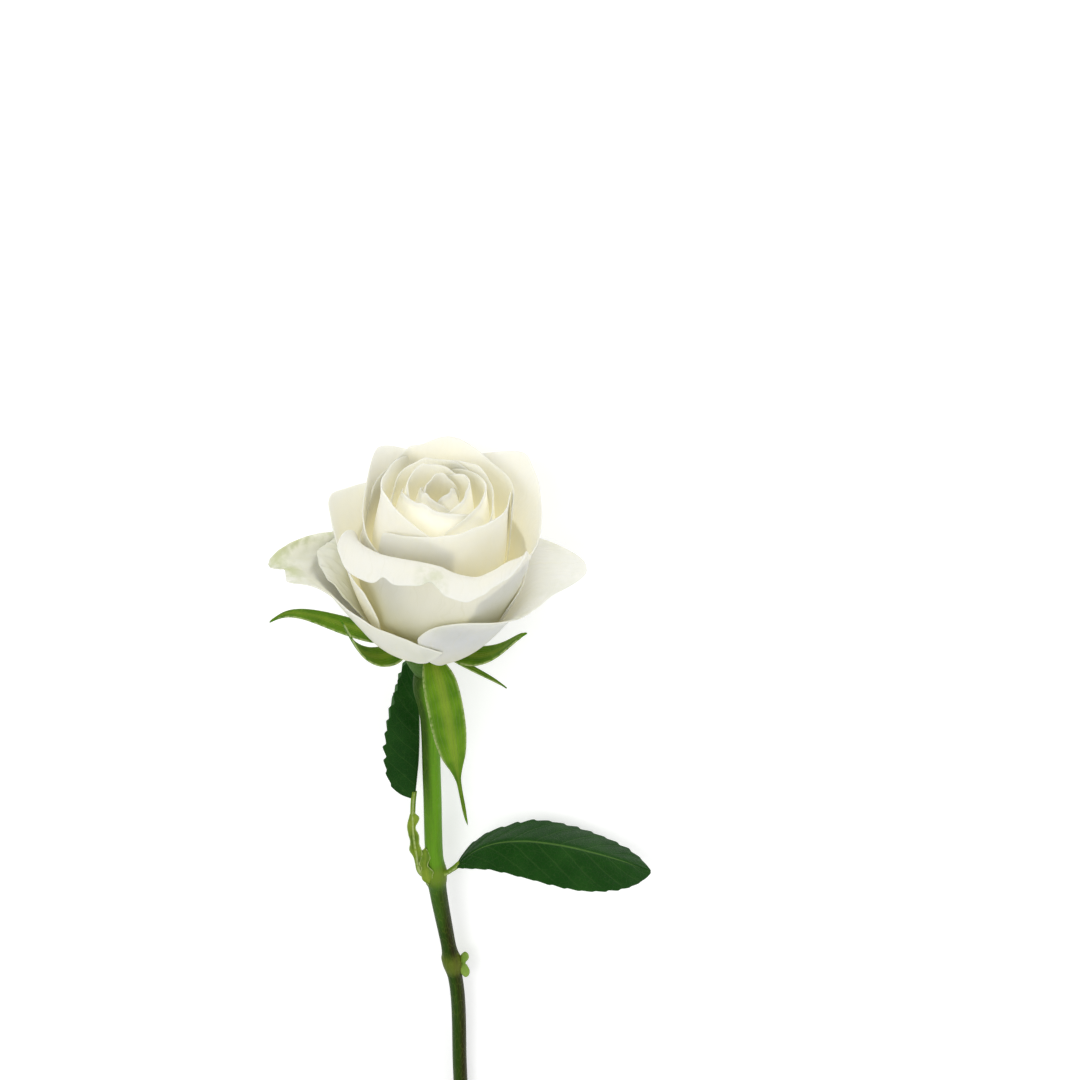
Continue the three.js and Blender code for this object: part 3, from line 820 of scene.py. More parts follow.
@dataclass
class Blade:
    """A petal or a sepal as it grows on the bloom.

    bend gives the angle between the blade and the bloom's axis at each station: 0 stands
    upright, 90 lies flat and more than 90 rolls back down. bend_left and bend_right, where they
    are given, hold for its edges.
    """

    name: str
    azimuth: float
    ring: float
    length: float
    half: float
    bend: tuple[float, ...]
    bend_left: Optional[tuple[float, ...]] = None
    bend_right: Optional[tuple[float, ...]] = None
    rim: Optional[tuple[tuple[float, float], ...]] = None
    shoulder: float = 0.1
    slant: float = 0.0
    point: float = 0.02
    roll: tuple[float, float] = (0.0, 0.0)
    drift: float = 0.0
    ruffle: float = 0.5
    notches: tuple[tuple[float, float, float], ...] = ()
    crumple: tuple[float, float, float] = (0.0, 1.0, 0.0)
    skin: Skin = Skin.CUP
    outline: Outline = PETAL
    taper: Optional[tuple[tuple[float, float], ...]] = None
    claw_spread: float = 24.0
    columns: int = 30
    rows: int = 30

    def lines(self, s: np.ndarray, base: tuple[float, float]) -> tuple[np.ndarray, np.ndarray]:
        """Follows the blade from its base to its rim along each column.

        Args:
            s: the columns' places across the blade.
            base: radius and height where the blade is attached.

        Returns:
            Radius and height, one row for each column and one value for each step.
        """
        steps = 80
        middle = through(STATIONS, self.bend, (np.arange(steps) + 0.5) / steps)
        edges = [self.bend if edge is None else edge for edge in (self.bend_left, self.bend_right)]
        left, right = (through(STATIONS, edge, (np.arange(steps) + 0.5) / steps) for edge in edges)
        lean = np.abs(s)[:, None] ** 1.5
        angle = np.radians(middle + lean * (np.where(s[:, None] < 0, left, right) - middle))
        step = self.length / steps
        radius = base[0] + np.cumsum(np.sin(angle), 1) * step
        height = base[1] + np.cumsum(np.cos(angle), 1) * step
        start = np.ones((len(s), 1))
        return np.hstack([base[0] * start, radius]), np.hstack([base[1] * start, height])

    def grid(self, base: tuple[float, float], seed: int) -> np.ndarray:
        """Works out the blade before its neighbours press on it.

        Args:
            base: radius and height where the blade is attached.
            seed: picks its ruffles.

        Returns:
            Points in the bloom's frame, columns across and rows along.
        """
        s, t = spread_out(self.columns, self.rows)
        if self.rim is None:
            rim = 1 - self.shoulder * np.abs(s) ** 2.6 - self.slant * s
            rim += self.point * (bell(s, 0, 0.1) - 1)
        else:
            rim = through(*zip(*self.rim), s)
        for place, depth, width in self.notches:
            rim -= depth * bell(s, place, width)
        reach = np.clip(t * rim, 0, 1)
        radius, height = self.lines(s[:, 0], base)
        steps = np.linspace(0, 1, radius.shape[1])
        middle = np.stack([np.interp(reach[k], steps, radius[k]) for k in range(len(s))])
        tall = np.stack([np.interp(reach[k], steps, height[k]) for k in range(len(s))])
        share = through(*zip(*self.taper), reach) if self.taper else self.outline.width(reach)
        free = self.half * share / np.maximum(middle, 1)
        widest = math.radians(self.claw_spread) + 3 * ease(reach / 0.7)
        spread = s * (free**-3 + widest**-3) ** (-1 / 3)
        edge = np.maximum(0, 2 * np.abs(s) - 1) ** 2.2 * ease(reach / 0.5)
        middle = middle + edge * np.where(s < 0, *self.roll)
        azimuth = np.radians(self.azimuth + self.drift * reach) + spread
        grid = np.stack([middle * np.cos(azimuth), middle * np.sin(azimuth), tall], -1)
        waves = rough(np.stack([s * 2.2, t * 1.2, s * 0], -1), 1.0, seed * 7.3)
        waves = waves + 0.5 * rough(np.stack([s * 5, t * 2, s * 0], -1), 1.0, seed * 3.1 + 50)
        lift = self.ruffle * 2.4 * waves * ease((t - 0.45) / 0.55)
        return grid + normals(grid) * lift[..., None]

    def crumpled(self, grid: np.ndarray, seed: int) -> np.ndarray:
        """Adds the creases that the blade's crumple asks for, all of them outwards.

        Args:
            grid: the settled blade.
            seed: picks the creases.

        Returns:
            The creased points.
        """
        place, width, depth = self.crumple
        if not depth:
            return grid
        s, t = spread_out(self.columns, self.rows)
        folds = rough(np.stack([s * 6.5, t * 6.0, s * 0], -1), 1.0, seed + 0.5)
        sharp = 1 - np.minimum(1, np.abs(folds)) ** 0.5
        creases = sharp * bell(s, place, width) * ease((t - 0.55) / 0.3)
        along = unit(np.gradient(grid, axis=1))
        pulled = 0.8 * rough(np.stack([s * 7, t * 2, s * 0], -1), 1.0, seed + 9.5)[..., None]
        grid = grid + normals(grid) * (depth * creases)[..., None]
        return grid + along * pulled * (depth * bell(s, place, width) * t**6)[..., None]


@dataclass
class Nest:
    """The blades placed so far, and how a new one is laid around them.

    apart is the distance kept between two blades, reach how far a blade looks for those inside
    it, and hold how far to the side of a point one of them can still hold it off.
    """

    apart: float = 0.75
    reach: float = 12.0
    hold: float = 0.9
    points: list[np.ndarray] = field(default_factory=list)
    facing: list[np.ndarray] = field(default_factory=list)

    def add(self, grid: np.ndarray) -> None:
        """Counts a finished blade among those that the next ones lie around."""
        self.points.append(grid.reshape(-1, 3))
        self.facing.append(normals(grid).reshape(-1, 3))

    def push(self, grid: np.ndarray) -> np.ndarray:
        """Works out how far a new blade has to give way to those inside it.

        Args:
            grid: the new blade's points.

        Returns:
            How far each point has to move outwards.
        """
        own, facing = grid.reshape(-1, 3), normals(grid).reshape(-1, 3)
        inside, outward = np.vstack(self.points), np.vstack(self.facing)
        near = ((inside > own.min(0) - self.reach) & (inside < own.max(0) + self.reach)).all(1)
        inside, outward = inside[near], outward[near]
        push = np.zeros(len(own))
        if not len(inside):
            return push.reshape(grid.shape[:2])
        apart = (own**2).sum(1)[None] - 2 * inside @ own.T
        nearest = apart.argmin(1)
        gap = inside - own[nearest]
        out = (gap * facing[nearest]).sum(1)
        length = np.linalg.norm(gap, axis=1)
        beside = np.sqrt(np.maximum(length**2 - out**2, 0))
        width = np.linalg.norm(grid[1, grid.shape[1] // 2] - grid[0, grid.shape[1] // 2])
        held = (length < self.reach) & ((outward * facing[nearest]).sum(1) > 0)
        held &= beside < self.hold + 0.5 * width
        np.maximum.at(push, nearest[held], out[held] + self.apart)
        return push.reshape(grid.shape[:2])

    def settle(self, grid: np.ndarray, rounds: int = 5) -> np.ndarray:
        """Moves a blade outwards until it clears those inside it.

        What lies beyond a bend is carried outwards by the part of the blade that holds it.

        Args:
            grid: the blade's points.
            rounds: how many times the blade is moved.

        Returns:
            The settled points.
        """
        if not self.points:
            return grid
        grid = grid.copy()
        for turn in range(rounds):
            push = fade(grid, self.push(grid))
            facing = normals(grid)
            moves = facing * push[..., None]
            bent = (np.hypot(facing[..., 0], facing[..., 1]) < 0.6) | (facing[..., 2] > 0)
            for j in range(grid.shape[1] // 2 + 1, grid.shape[1]):
                below = np.linalg.norm(moves[:, j - 1], axis=-1)
                carried = bent[:, j] & (below > np.linalg.norm(moves[:, j], axis=-1))
                moves[carried, j] = moves[carried, j - 1]
            grid += moves
            grid = relax(grid, 4 if turn < rounds - 2 else 1)
        return grid


def beside(values: np.ndarray, axis: int, step: int) -> np.ndarray:
    """Reads each point's neighbour, with the border repeated.

    Args:
        values: one value for each point of a grid.
        axis: the axis along which the neighbour lies.
        step: 1 for the next point and -1 for the one before.

    Returns:
        The neighbours' values.
    """
    pad = [(1, 1) if k == axis else (0, 0) for k in range(values.ndim)]
    wide = np.pad(values, pad, mode="edge")
    window = [slice(None)] * values.ndim
    window[axis] = slice(1 + step, 1 + step + values.shape[axis])
    return wide[tuple(window)]


def fade(grid: np.ndarray, push: np.ndarray) -> np.ndarray:
    """Lets a push fade out over the points around it, so that the blade stays smooth.

    Args:
        grid: the blade's points.
        push: how far each point has to move.

    Returns:
        The wider push.
    """
    slope = 0.28
    for _ in range(12):
        around = [push]
        for axis in (0, 1):
            for step in (-1, 1):
                apart = np.linalg.norm(beside(grid, axis, step) - grid, axis=-1)
                around.append(beside(push, axis, step) - slope * apart)
        push = np.max(around, 0)
    return push


def relax(grid: np.ndarray, passes: int) -> np.ndarray:
    """Draws each inner point towards the middle of those beside it, along the normal.

    Args:
        grid: the blade's points.
        passes: how often the points are drawn.

    Returns:
        The smoother points.
    """
    share = 0.4
    for _ in range(passes):
        middle = sum(beside(grid, axis, step) - grid for axis in (0, 1) for step in (-1, 1)) / 4
        facing = normals(grid)
        pull = share * (middle * facing).sum(-1, keepdims=True) * facing
        pull[[0, -1]] = 0
        pull[:, [0, -1]] = 0
        grid = grid + pull
    return grid


# ---------------------------------------------------------------- the bloom


@dataclass
class Bloom:
    """The petals, from the heart outwards, with the receptacle and the sepals that hold them."""

    layout: Layout
    wardrobe: Wardrobe
    petal_thickness: float = 0.42
    sepal_thickness: float = 0.6
    inner_ring: float = 1.5
    outer_ring: float = 8.0
    attachment_rise: float = 5.0
    attachment_base: float = -1.0
    receptacle_depth: float = 12.0
    receptacle_floor: float = 3.4
    neck_gap: float = 0.8
    join_gap: float = 0.3
    nest: Nest = field(default_factory=Nest)

    def petals(self) -> list[Blade]:
        """Returns the petals from the heart outwards."""
        return [
            Blade("heart_petal_1", 60, 0.0, 60, 9, (30, 14, 4, 0, -10, -18, -26), skin=Skin.HEART),
            Blade("heart_petal_2", 215, 0.03, 62, 12, (35, 17, 5, 0, -10, -16, -22), skin=Skin.HEART),
            Blade("heart_petal_3", -50, 0.06, 60, 14, (40, 20, 6, 0, -10, -15, -18), skin=Skin.HEART),
            Blade("heart_petal_4", 95, 0.1, 63, 18, (45, 24, 7, 1, -10, -14, -14), skin=Skin.HEART),
            Blade("heart_petal_5", 225, 0.13, 64, 19, (50, 27, 8, 1, -9, -13, -12), skin=Skin.HEART),
            Blade("inner_petal_1", -25, 0.17, 63, 25, (54, 32, 10, 2, -9, -13, -10), skin=Skin.HEART),
            Blade("inner_petal_2", 95, 0.21, 64, 26, (58, 34, 12, 2, -9, -12, -8), skin=Skin.HEART),
            Blade("inner_petal_3", 205, 0.25, 64, 27, (62, 36, 12, 2, -8, -10, -4), skin=Skin.HEART),
            Blade("inner_petal_4", 140, 0.29, 64, 27, (64, 38, 12, 3, -8, -9, 0), skin=Skin.HEART),
            Blade("cup_petal_left", -68, 0.33, 66, 31, (68, 42, 15, 3, -8, -6, 14), slant=0.05,
                  roll=(4, 0)),
            Blade("cup_petal_front", 30, 0.38, 65, 34, (72, 46, 16, 3, -7, -3, 16), slant=-0.04,
                  roll=(0, 3)),
            Blade("cup_petal_back", 176, 0.43, 69, 35, (74, 46, 16, 4, -4, -2, 8), point=0.03,
                  rim=((-1, 0.86), (-0.5, 0.93), (0, 1), (0.5, 0.93), (1, 0.86))),
            Blade("wrap_petal_left", -118, 0.5, 68, 41, (76, 48, 18, 5, 2, 8, 18),
                  bend_right=(76, 46, 14, 0, -5, -6, 4), roll=(1, 1),
                  rim=((-1, 0.82), (-0.5, 0.92), (-0.13, 1), (0.1, 0.92), (0.3, 0.84), (0.5, 0.78),
                       (1, 0.7))),
            Blade("wrap_petal_right", 100, 0.56, 71, 39, (78, 50, 24, 13, 12, 16, 22),
                  bend_right=(78, 50, 20, 5, -5, -4, 4), roll=(1.5, 1),
                  rim=((-1, 0.7), (-0.7, 0.74), (-0.28, 0.79), (0.1, 0.88), (0.35, 0.95), (0.5, 1),
                       (0.65, 0.95), (1, 0.84))),
            Blade("wrap_petal_back", 204, 0.59, 48, 26, (78, 50, 22, 5, 0, 3, 6), shoulder=0.2),
            Blade("lip_petal", -4, 0.62, 71, 37, (74, 44, 16, 5, 16, 96, 128),
                  bend_left=(74, 44, 16, 8, 56, 118, 138),
                  bend_right=(74, 46, 20, 10, 14, 90, 115), rows=44, columns=44, ruffle=0.25,
                  rim=((-1, 0.88), (-0.85, 0.95), (-0.6, 0.99), (-0.3, 1), (0, 1), (0.4, 1),
                       (0.8, 0.96), (1, 0.88)),
                  notches=((-0.43, 0.035, 0.06), (0.04, 0.03, 0.05)), skin=Skin.LIP),
            Blade("outer_petal_left", -104, 0.68, 58, 30, (80, 54, 27, 20, 16, 24, 40),
                  rim=((-1, 0.86), (-0.3, 0.95), (0.1, 1), (0.5, 0.92), (1, 0.72))),
            Blade("outer_petal_right", 128, 0.72, 46, 28, (80, 54, 22, 6, 4, 6, 10), shoulder=0.2),
            Blade("outer_petal_back", 182, 0.76, 46, 30, (82, 56, 24, 10, 8, 10, 14), shoulder=0.2),
            Blade("crumpled_petal", -104, 0.8, 43, 20, (82, 58, 34, 32, 50, 72, 85), shoulder=0.2,
                  ruffle=1.2, crumple=(0, 1, 3.0), skin=Skin.WILTED),
            Blade("guard_petal_right", 65, 0.86, 58, 35, (82, 54, 32, 32, 72, 80, 80),
                  bend_left=(82, 60, 26, 10, 20, 50, 80), bend_right=(82, 54, 28, 26, 40, 46, 52),
                  rim=((-1, 0.55), (-0.92, 0.68), (-0.75, 0.78), (-0.45, 0.8), (-0.12, 0.76),
                       (0.15, 0.79), (0.3, 0.87), (0.45, 0.96), (0.6, 1.02), (0.68, 1),
                       (0.8, 0.88), (1, 0.74)),
                  skin=Skin.GUARD),
            Blade("guard_petal_left", -62, 0.92, 60, 34, (82, 56, 32, 34, 82, 95, 95),
                  bend_left=(82, 52, 28, 26, 60, 74, 84), bend_right=(82, 50, 18, 6, 20, 60, 80),
                  rim=((-1, 0.58), (-0.88, 0.66), (-0.78, 0.86), (-0.68, 0.95), (-0.58, 0.89),
                       (-0.48, 0.87), (-0.3, 0.86), (-0.15, 0.78), (0.07, 0.64), (0.45, 0.52),
                       (0.85, 0.48), (1, 0.44)),
                  ruffle=0.9, crumple=(-0.66, 0.3, 5.0), skin=Skin.WILTED),
            Blade("back_guard_petal_left", -143, 0.96, 50, 24, (84, 60, 34, 24, 42, 70, 90),
                  shoulder=0.42, skin=Skin.GUARD),
            Blade("back_guard_petal_right", 140, 1.0, 48, 23, (84, 60, 34, 24, 42, 68, 88),
                  shoulder=0.42, skin=Skin.GUARD),
        ]

    def sepals(self) -> list[Blade]:
        """Returns the five sepals, and the thin side lobe of one of them."""
        common = {"point": 0.0, "skin": Skin.SEPAL, "outline": SEPAL,
                  "columns": 10, "rows": 44, "ruffle": 0.12, "ring": 1.15}
        return [
            Blade("sepal_front", 18, drift=20, length=62, half=6.2,
                  taper=((0, 0.95), (0.2, 1), (0.4, 0.96), (0.54, 0.72), (0.66, 0.25), (0.72, 0.12),
                         (0.9, 0.1), (1, 0.03)),
                  bend=(96, 140, 162, 169, 169, 168, 168), **common),
            Blade("sepal_left", -64, length=34, half=5.2,
                  bend=(106, 94, 56, 28, 22, 26, 30), **common),
            Blade("sepal_left_long", -112, drift=22, length=44, half=5,
                  bend=(106, 96, 78, 68, 76, 106, 132), **common),
            Blade("sepal_right", 80, drift=-8, length=32, half=5.5,
                  bend=(100, 88, 58, 36, 32, 38, 44), **common),
            Blade("sepal_right.lobe", 61, length=22, half=1.3,
                  bend=(98, 96, 94, 94, 96, 100, 104), **common),
            Blade("sepal_back", 146, length=34, half=6, bend=(96, 84, 58, 44, 42, 46, 50), **common),
        ]

    def ring(self, share: float) -> tuple[float, float]:
        """Returns radius and height where a petal of this ring is attached."""
        radius = self.inner_ring + (self.outer_ring - self.inner_ring) * share
        return radius, self.attachment_base + self.attachment_rise * (1 - share * share)

    def build(self) -> list[bpy.types.Object]:
        """Builds and dresses every piece of the bloom."""
        pieces = []
        for seed, cut in enumerate(self.petals()):
            grid = self.nest.settle(cut.grid(self.ring(cut.ring), seed))
            grid = cut.crumpled(grid, seed)
            self.nest.add(grid)
            piece = sheet(cut.name, grid, self.petal_thickness, self.layout.bloom)
            inside = Skin.INSIDE if cut.skin in (Skin.HEART, Skin.CUP) else cut.skin
            self.wardrobe.dress(piece, cut.skin, inside)
            pieces.append(piece)
        cup, rim = self.receptacle()
        base = (self.outer_ring + self.join_gap + self.sepal_thickness / 2, rim - self.sepal_thickness)
        pieces.append(cup)
        for seed, cut in enumerate(self.sepals()):
            grid = self.nest.settle(cut.grid(base, seed + 40))
            piece = sheet(cut.name, grid, self.sepal_thickness, self.layout.bloom)
            self.wardrobe.dress(piece, Skin.SEPAL, Skin.SEPAL_INSIDE)
            pieces.append(piece)
        return pieces

    def lowest_over(self, radius: float) -> float:
        """Finds how low the petals reach.

        Args:
            radius: the radius of the ring that is looked at.

        Returns:
            The height of the lowest point in that ring.
        """
        points = np.vstack(self.nest.points)
        near = np.abs(np.hypot(points[:, 0], points[:, 1]) - radius) < 1.6
        return min(points[near, 2].min(initial=np.inf), self.ring(0)[1])

    def receptacle(self) -> tuple[bpy.types.Object, float]:
        """Makes the green cup under the petals.

        Returns:
            The cup, and the height of its rim.
        """
        under = self.petal_thickness / 2 + self.join_gap
        profile: list[tuple[float, float]] = []
        for share in (0, 0.3, 0.6, 0.8, 1):
            height = self.lowest_over(self.outer_ring * share) - under
            profile.append((self.outer_ring * share, min([height] + [h for _, h in profile[-1:]])))
        rim = profile[-1][1]
        depth, floor = self.receptacle_depth, self.receptacle_floor
        for share, drop in ((0.99, 0.08), (0.94, 0.3), (0.8, 0.55), (0.62, 0.78)):
            profile.append((self.outer_ring * share, rim - depth * drop))
        profile += [(floor, rim - depth), (0.0, rim - depth)]
        bm = bmesh.new()
        bm.loops.layers.uv.new(UV_LAYER)
        verts = [bm.verts.new((radius, 0, height)) for radius, height in profile]
        edges = [bm.edges.new(pair) for pair in zip(verts, verts[1:])]
        bmesh.ops.spin(bm, geom=[*verts, *edges], cent=(0, 0, 0), axis=(0, 0, 1), angle=2 * math.pi,
                       steps=40, use_merge=True)
        bmesh.ops.remove_doubles(bm, verts=bm.verts, dist=0.01)
        bmesh.ops.recalc_face_normals(bm, faces=bm.faces)
        cup = finish_mesh("receptacle", bm, self.layout.bloom)
        self.wardrobe.dress(cup, Skin.CALYX)
        return cup, rim


# ---------------------------------------------------------------- stem and leaves


@dataclass
class Stem:
    """The stem, from the bloom's neck to its slanted cut, with two nodes and a bud."""

    layout: Layout
    wardrobe: Wardrobe
    top: float
    top_radius: float = 3.05
    swelling: float = 0.9
    node_spread: float = 4.0
    first_node: float = 98.0
    second_node: float = 137.0
    sink: float = 145.0
    bud_sink: float = 0.95
    rings: int = 240

    def line(self) -> np.ndarray:
        """Returns evenly spaced points along the middle of the stem."""
        length = self.layout.stem_length
        end = self.layout.floor() + self.layout.stem_end_radius
        route = [(30, 0.2), (60, -0.2), (self.first_node, -0.6), (self.second_node - 7, -4.5),
                 (self.second_node + 13, -7.2), (186, -7.7), (230, -9), (length, -11.5)]
        points = [self.layout.on_axis(self.top), self.layout.on_axis(self.top - 6)]
        for distance, sideways in route:
            level = (1 - math.exp(-distance / self.sink)) / (1 - math.exp(-length / self.sink))
            points.append(np.array([-distance, sideways, end * level]))
        return smooth_line(points, self.rings + 1)

    def plain_radius(self, distance: np.ndarray) -> np.ndarray:
        """Works out the stem's radius without its ribs and scars.

        Args:
            distance: distances from the bloom's base.

        Returns:
            The radius at each distance.
        """
        slim = ease((distance - self.first_node) / (self.second_node - self.first_node))
        plain = self.top_radius + (self.layout.stem_end_radius - self.top_radius) * slim
        for node in (self.first_node, self.second_node):
            plain = plain + self.swelling * bell(distance, node, self.node_spread)
        return plain

    def at(self, distance: float) -> np.ndarray:
        """Returns the point of the stem's middle at a distance from the bloom's base."""
        line = self.line()
        return np.array([np.interp(-distance, line[::-1, 0], line[::-1, axis]) for axis in range(3)])

    def build(self) -> list[bpy.types.Object]:
        """Builds and dresses the stem and its bud."""
        line = self.line()

        def radius(angle: np.ndarray, t: np.ndarray) -> np.ndarray:
            """Returns the radius of the slightly ribbed stem."""
            distance = np.interp(t[0], np.linspace(0, 1, len(line)), -line[:, 0])[None]
            ribs = 0.05 * np.cos(5 * angle + 0.02 * distance) + 0.03 * np.cos(3 * angle + 1)
            scar = 0.35 * bell(distance, self.first_node + 3.5, 0.8)
            scar = scar + 0.3 * bell(distance, self.second_node - 2, 0.7)
            return self.plain_radius(distance) + ribs + scar * (0.6 + 0.4 * np.cos(angle - 1.2))

        slant = math.tan(math.radians(self.layout.cut_slant))
        stem = tube("stem", line, radius, self.layout.rose, around=28, slant=slant)
        nodes = tuple(self.layout.base.x - node * MM for node in (self.first_node, self.second_node))
        self.wardrobe.dress(stem, StemFinish("stem_bark", nodes=nodes), Skin.PITH)
        return [stem, self.bud()]

    def bud(self) -> bpy.types.Object:
        """Makes the dormant bud in the second node's leaf scar, with its loose scale."""
        low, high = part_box("axil_bud")
        middle, size = (low + high) / 2, (high - low) / 2
        waist_depth, waist_at, waist_width = 0.6, 0.1, 0.22
        fold_depth, bow = 0.14, 0.5
        bm = bmesh.new()
        bm.loops.layers.uv.new(UV_LAYER)
        bmesh.ops.create_uvsphere(bm, u_segments=24, v_segments=16, radius=1, calc_uvs=True)
        for vert in bm.verts:
            x, y, z = vert.co
            waist = 1 - waist_depth * math.exp(-(((z - waist_at) / waist_width) ** 2))
            fold = 1 + fold_depth * math.cos(3 * math.atan2(y, x) + 4 * z)
            lean = size.y * (self.bud_sink - bow * abs(z - waist_at))
            vert.co = (z * size.x, x * waist * fold * size.y + lean, y * waist * fold * size.z)
        bmesh.ops.recalc_face_normals(bm, faces=bm.faces)
        bud = finish_mesh("axil_bud", bm, Matrix.Translation(middle))
        self.wardrobe.dress(bud, Skin.BUD)
        return bud


@dataclass
class Leaflet:
    """A toothed leaflet, from its midrib and the two directions that its halves spread in."""

    name: str
    half: float
    fullest: float
    midrib: tuple[tuple[float, float, float], ...]
    left: tuple[float, float, float]
    right: tuple[float, float, float]
    teeth: int = 15
    tooth: float = 1.5
    toothed: tuple[float, float] = (0.35, 1.0)
    skins: tuple[Skin, Skin] = (Skin.LEAF_UNDER, Skin.LEAF)
    side_veins: float = 9.0
    vein_lean: float = 1.6
    thickness: float = 0.4
    columns: int = 32
    rows_per_tooth: int = 6
    forward: float = 0.22
    pillow: float = 0.35
    wave: float = 0.8
    groove: float = 0.5

    def grid(self, node: np.ndarray) -> np.ndarray:
        """Works out the blade.

        Args:
            node: where the leaf grows on the stem.

        Returns:
            Points in the frame of the rose, columns across and rows along.
        """
        rows = self.teeth * self.rows_per_tooth
        s, t = spread_out(self.columns, rows)
        line = smooth_line([node + np.array(point) for point in self.midrib], rows + 1)[None]
        along = unit(np.gradient(line, axis=1))
        width = np.maximum(0.4, self.half * np.sin(np.pi * t**self.fullest) ** 0.75)
        count = t * self.teeth + 1e-6
        tooth = count % 1.0
        deep = 0.55 + 0.9 * np.sin(7.1 * np.floor(count) + np.sign(s)) ** 2
        bite = self.tooth * (tooth - 0.4) * deep * np.abs(s) ** 9 * np.where(s < 0, *self.toothed)
        width = width + bite * ease(np.minimum(t, 1 - t) / 0.12)
        sides = np.where(s[..., None] < 0, unit(np.array(self.left)), unit(np.array(self.right)))
        grid = line + sides * (np.abs(s) * width)[..., None]
        grid = grid + along * (self.forward * np.abs(s) ** 2 * width)[..., None]
        veins = t * self.side_veins - np.abs(s) * self.vein_lean
        pillow = self.pillow * np.abs(np.sin(np.pi * veins)) ** 0.7 * np.abs(s) ** 0.5 * (1 - s**4)
        wave = self.wave * rough(grid, 16.0, 3.0) * np.abs(s)
        rib = -self.groove * bell(s, 0, 0.06)
        return grid - normals(grid) * (pillow + wave + rib)[..., None]


@dataclass
class Stalk:
    """A leaflet's stalk, thickest where it leaves the stem."""

    name: str
    route: tuple[tuple[float, float, float], ...]
    foot: float = 1.7
    slim: float = 0.95

    def radius(self, angle: np.ndarray, t: np.ndarray) -> np.ndarray:
        """Returns the radius at an angle around the stalk and a place along it."""
        taper = self.slim + (self.foot - self.slim) * (1 - ease(t / 0.35))
        return taper * (1 + 0.12 * np.cos(2 * angle + 3 * t))


@dataclass(frozen=True)
class Stipule:
    """A ragged green wing beside the left stalk."""

    name: str
    seed: int
    route: tuple[tuple[float, float, float], ...]
    half: float = 1.5
    ragged: float = 1.2
    least: float = 0.25
    curl: float = 0.5

    def grid(self, node: np.ndarray) -> np.ndarray:
        """Works out the stipule.

        Args:
            node: where the leaf grows on the stem.

        Returns:
            Points in the frame of the rose, columns across and rows along.
        """
        rows = 60
        s, t = spread_out(10, rows)
        line = smooth_line([node + np.array(point) for point in self.route], rows + 1)[None]
        places = np.stack([t * 6, np.sign(s) * 3, s * 0], -1)
        width = self.half + self.ragged * rough(places, 1.0, self.seed * 1.7)
        tip = ease(t / 0.12) * ease((1 - t) / 0.1)
        across = unit(np.array([0.1, 0.9, 0.0])) * s[..., None]
        lift = np.array([0.0, 0.0, self.curl]) * (s**2 + 0.6 * np.sin(9 * t + 2 * s))[..., None]
        return line + across * (self.least + width * tip)[..., None] + lift


@dataclass
class Leaves:
    """The two leaflets at the first node, with their stalks and ragged stipules."""

    layout: Layout
    wardrobe: Wardrobe
    node: np.ndarray
    stipule_thickness: float = 0.35

    def stalks(self) -> list[Stalk]:
        """Returns the stalks, whose ends are grown into the stem and the leaflets."""
        right = ((0, -1.5, 0.4), (1.4, -4.2, 1.8), (3, -5.4, 3), (4.3, -6.5, 3.8), (7, -8.6, 5))
        left = ((-1, 1.2, 0.4), (2, 4.8, 2), (10, 6.2, 3), (20, 7.1, 3.2), (29.5, 6.9, 3),
                (34, 6.4, 3))
        return [Stalk("petiole_right", right), Stalk("petiole_left", left, slim=0.8)]

    def stipules(self) -> list[Stipule]:
        """Returns the stipules, which are grown onto the left stalk and the node."""
        long = ((0, 3.2, 2), (8, 5.6, 3.1), (17, 7, 3.4), (27, 7.1, 3.2))
        short = ((-3, 2, 2.6), (2, 2.8, 3.4), (7, 3.2, 3.6), (12, 3.0, 3.2))
        return [
            Stipule("petiole_left.stipule", 20, long),
            Stipule("petiole_left.scale", 18, short),
        ]

    def leaflets(self) -> list[Leaflet]:
        """Returns the right leaflet, which lies open, and the left one, which is folded."""
        right = ((5, -7, 4), (12, -12, 7), (17, -19, 9), (19, -29, 10), (18, -41, 10.5), (14, -53, 9),
                 (9, -64, 7), (3, -73, 4))
        left = ((31, 6.6, 3), (48, 4.8, 3), (66, 4.6, 1.5), (85, 6, -1))
        return [
            Leaflet("leaf_right", 15, 1.1, right, (-0.6, 0, 0.8), (-0.05, 0, -1)),
            Leaflet("leaf_left", 12, 0.6, left, (0.1, 0.93, 0.35), (0.1, 0.93, -0.35), teeth=11,
                    toothed=(1.0, 0.6), skins=(Skin.LEAF, Skin.LEAF_UNDER)),
        ]

    def build(self) -> list[bpy.types.Object]:
        """Builds and dresses the leaflets and their stalks."""
        pieces = []
        for leaflet in self.leaflets():
            piece = sheet(leaflet.name, leaflet.grid(self.node), leaflet.thickness, self.layout.rose)
            self.wardrobe.dress(piece, *leaflet.skins)
            pieces.append(piece)
        green = []
        for stalk in self.stalks():
            line = smooth_line([self.node + np.array(point) for point in stalk.route], 60)
            green.append(tube(stalk.name, line, stalk.radius, self.layout.rose, around=16))
        for stipule in self.stipules():
            grid = stipule.grid(self.node)
            green.append(sheet(stipule.name, grid, self.stipule_thickness, self.layout.rose))
        for piece in green:
            self.wardrobe.dress(piece, Skin.STIPULE, Skin.STIPULE)
        return pieces + green


# ---------------------------------------------------------------- studio


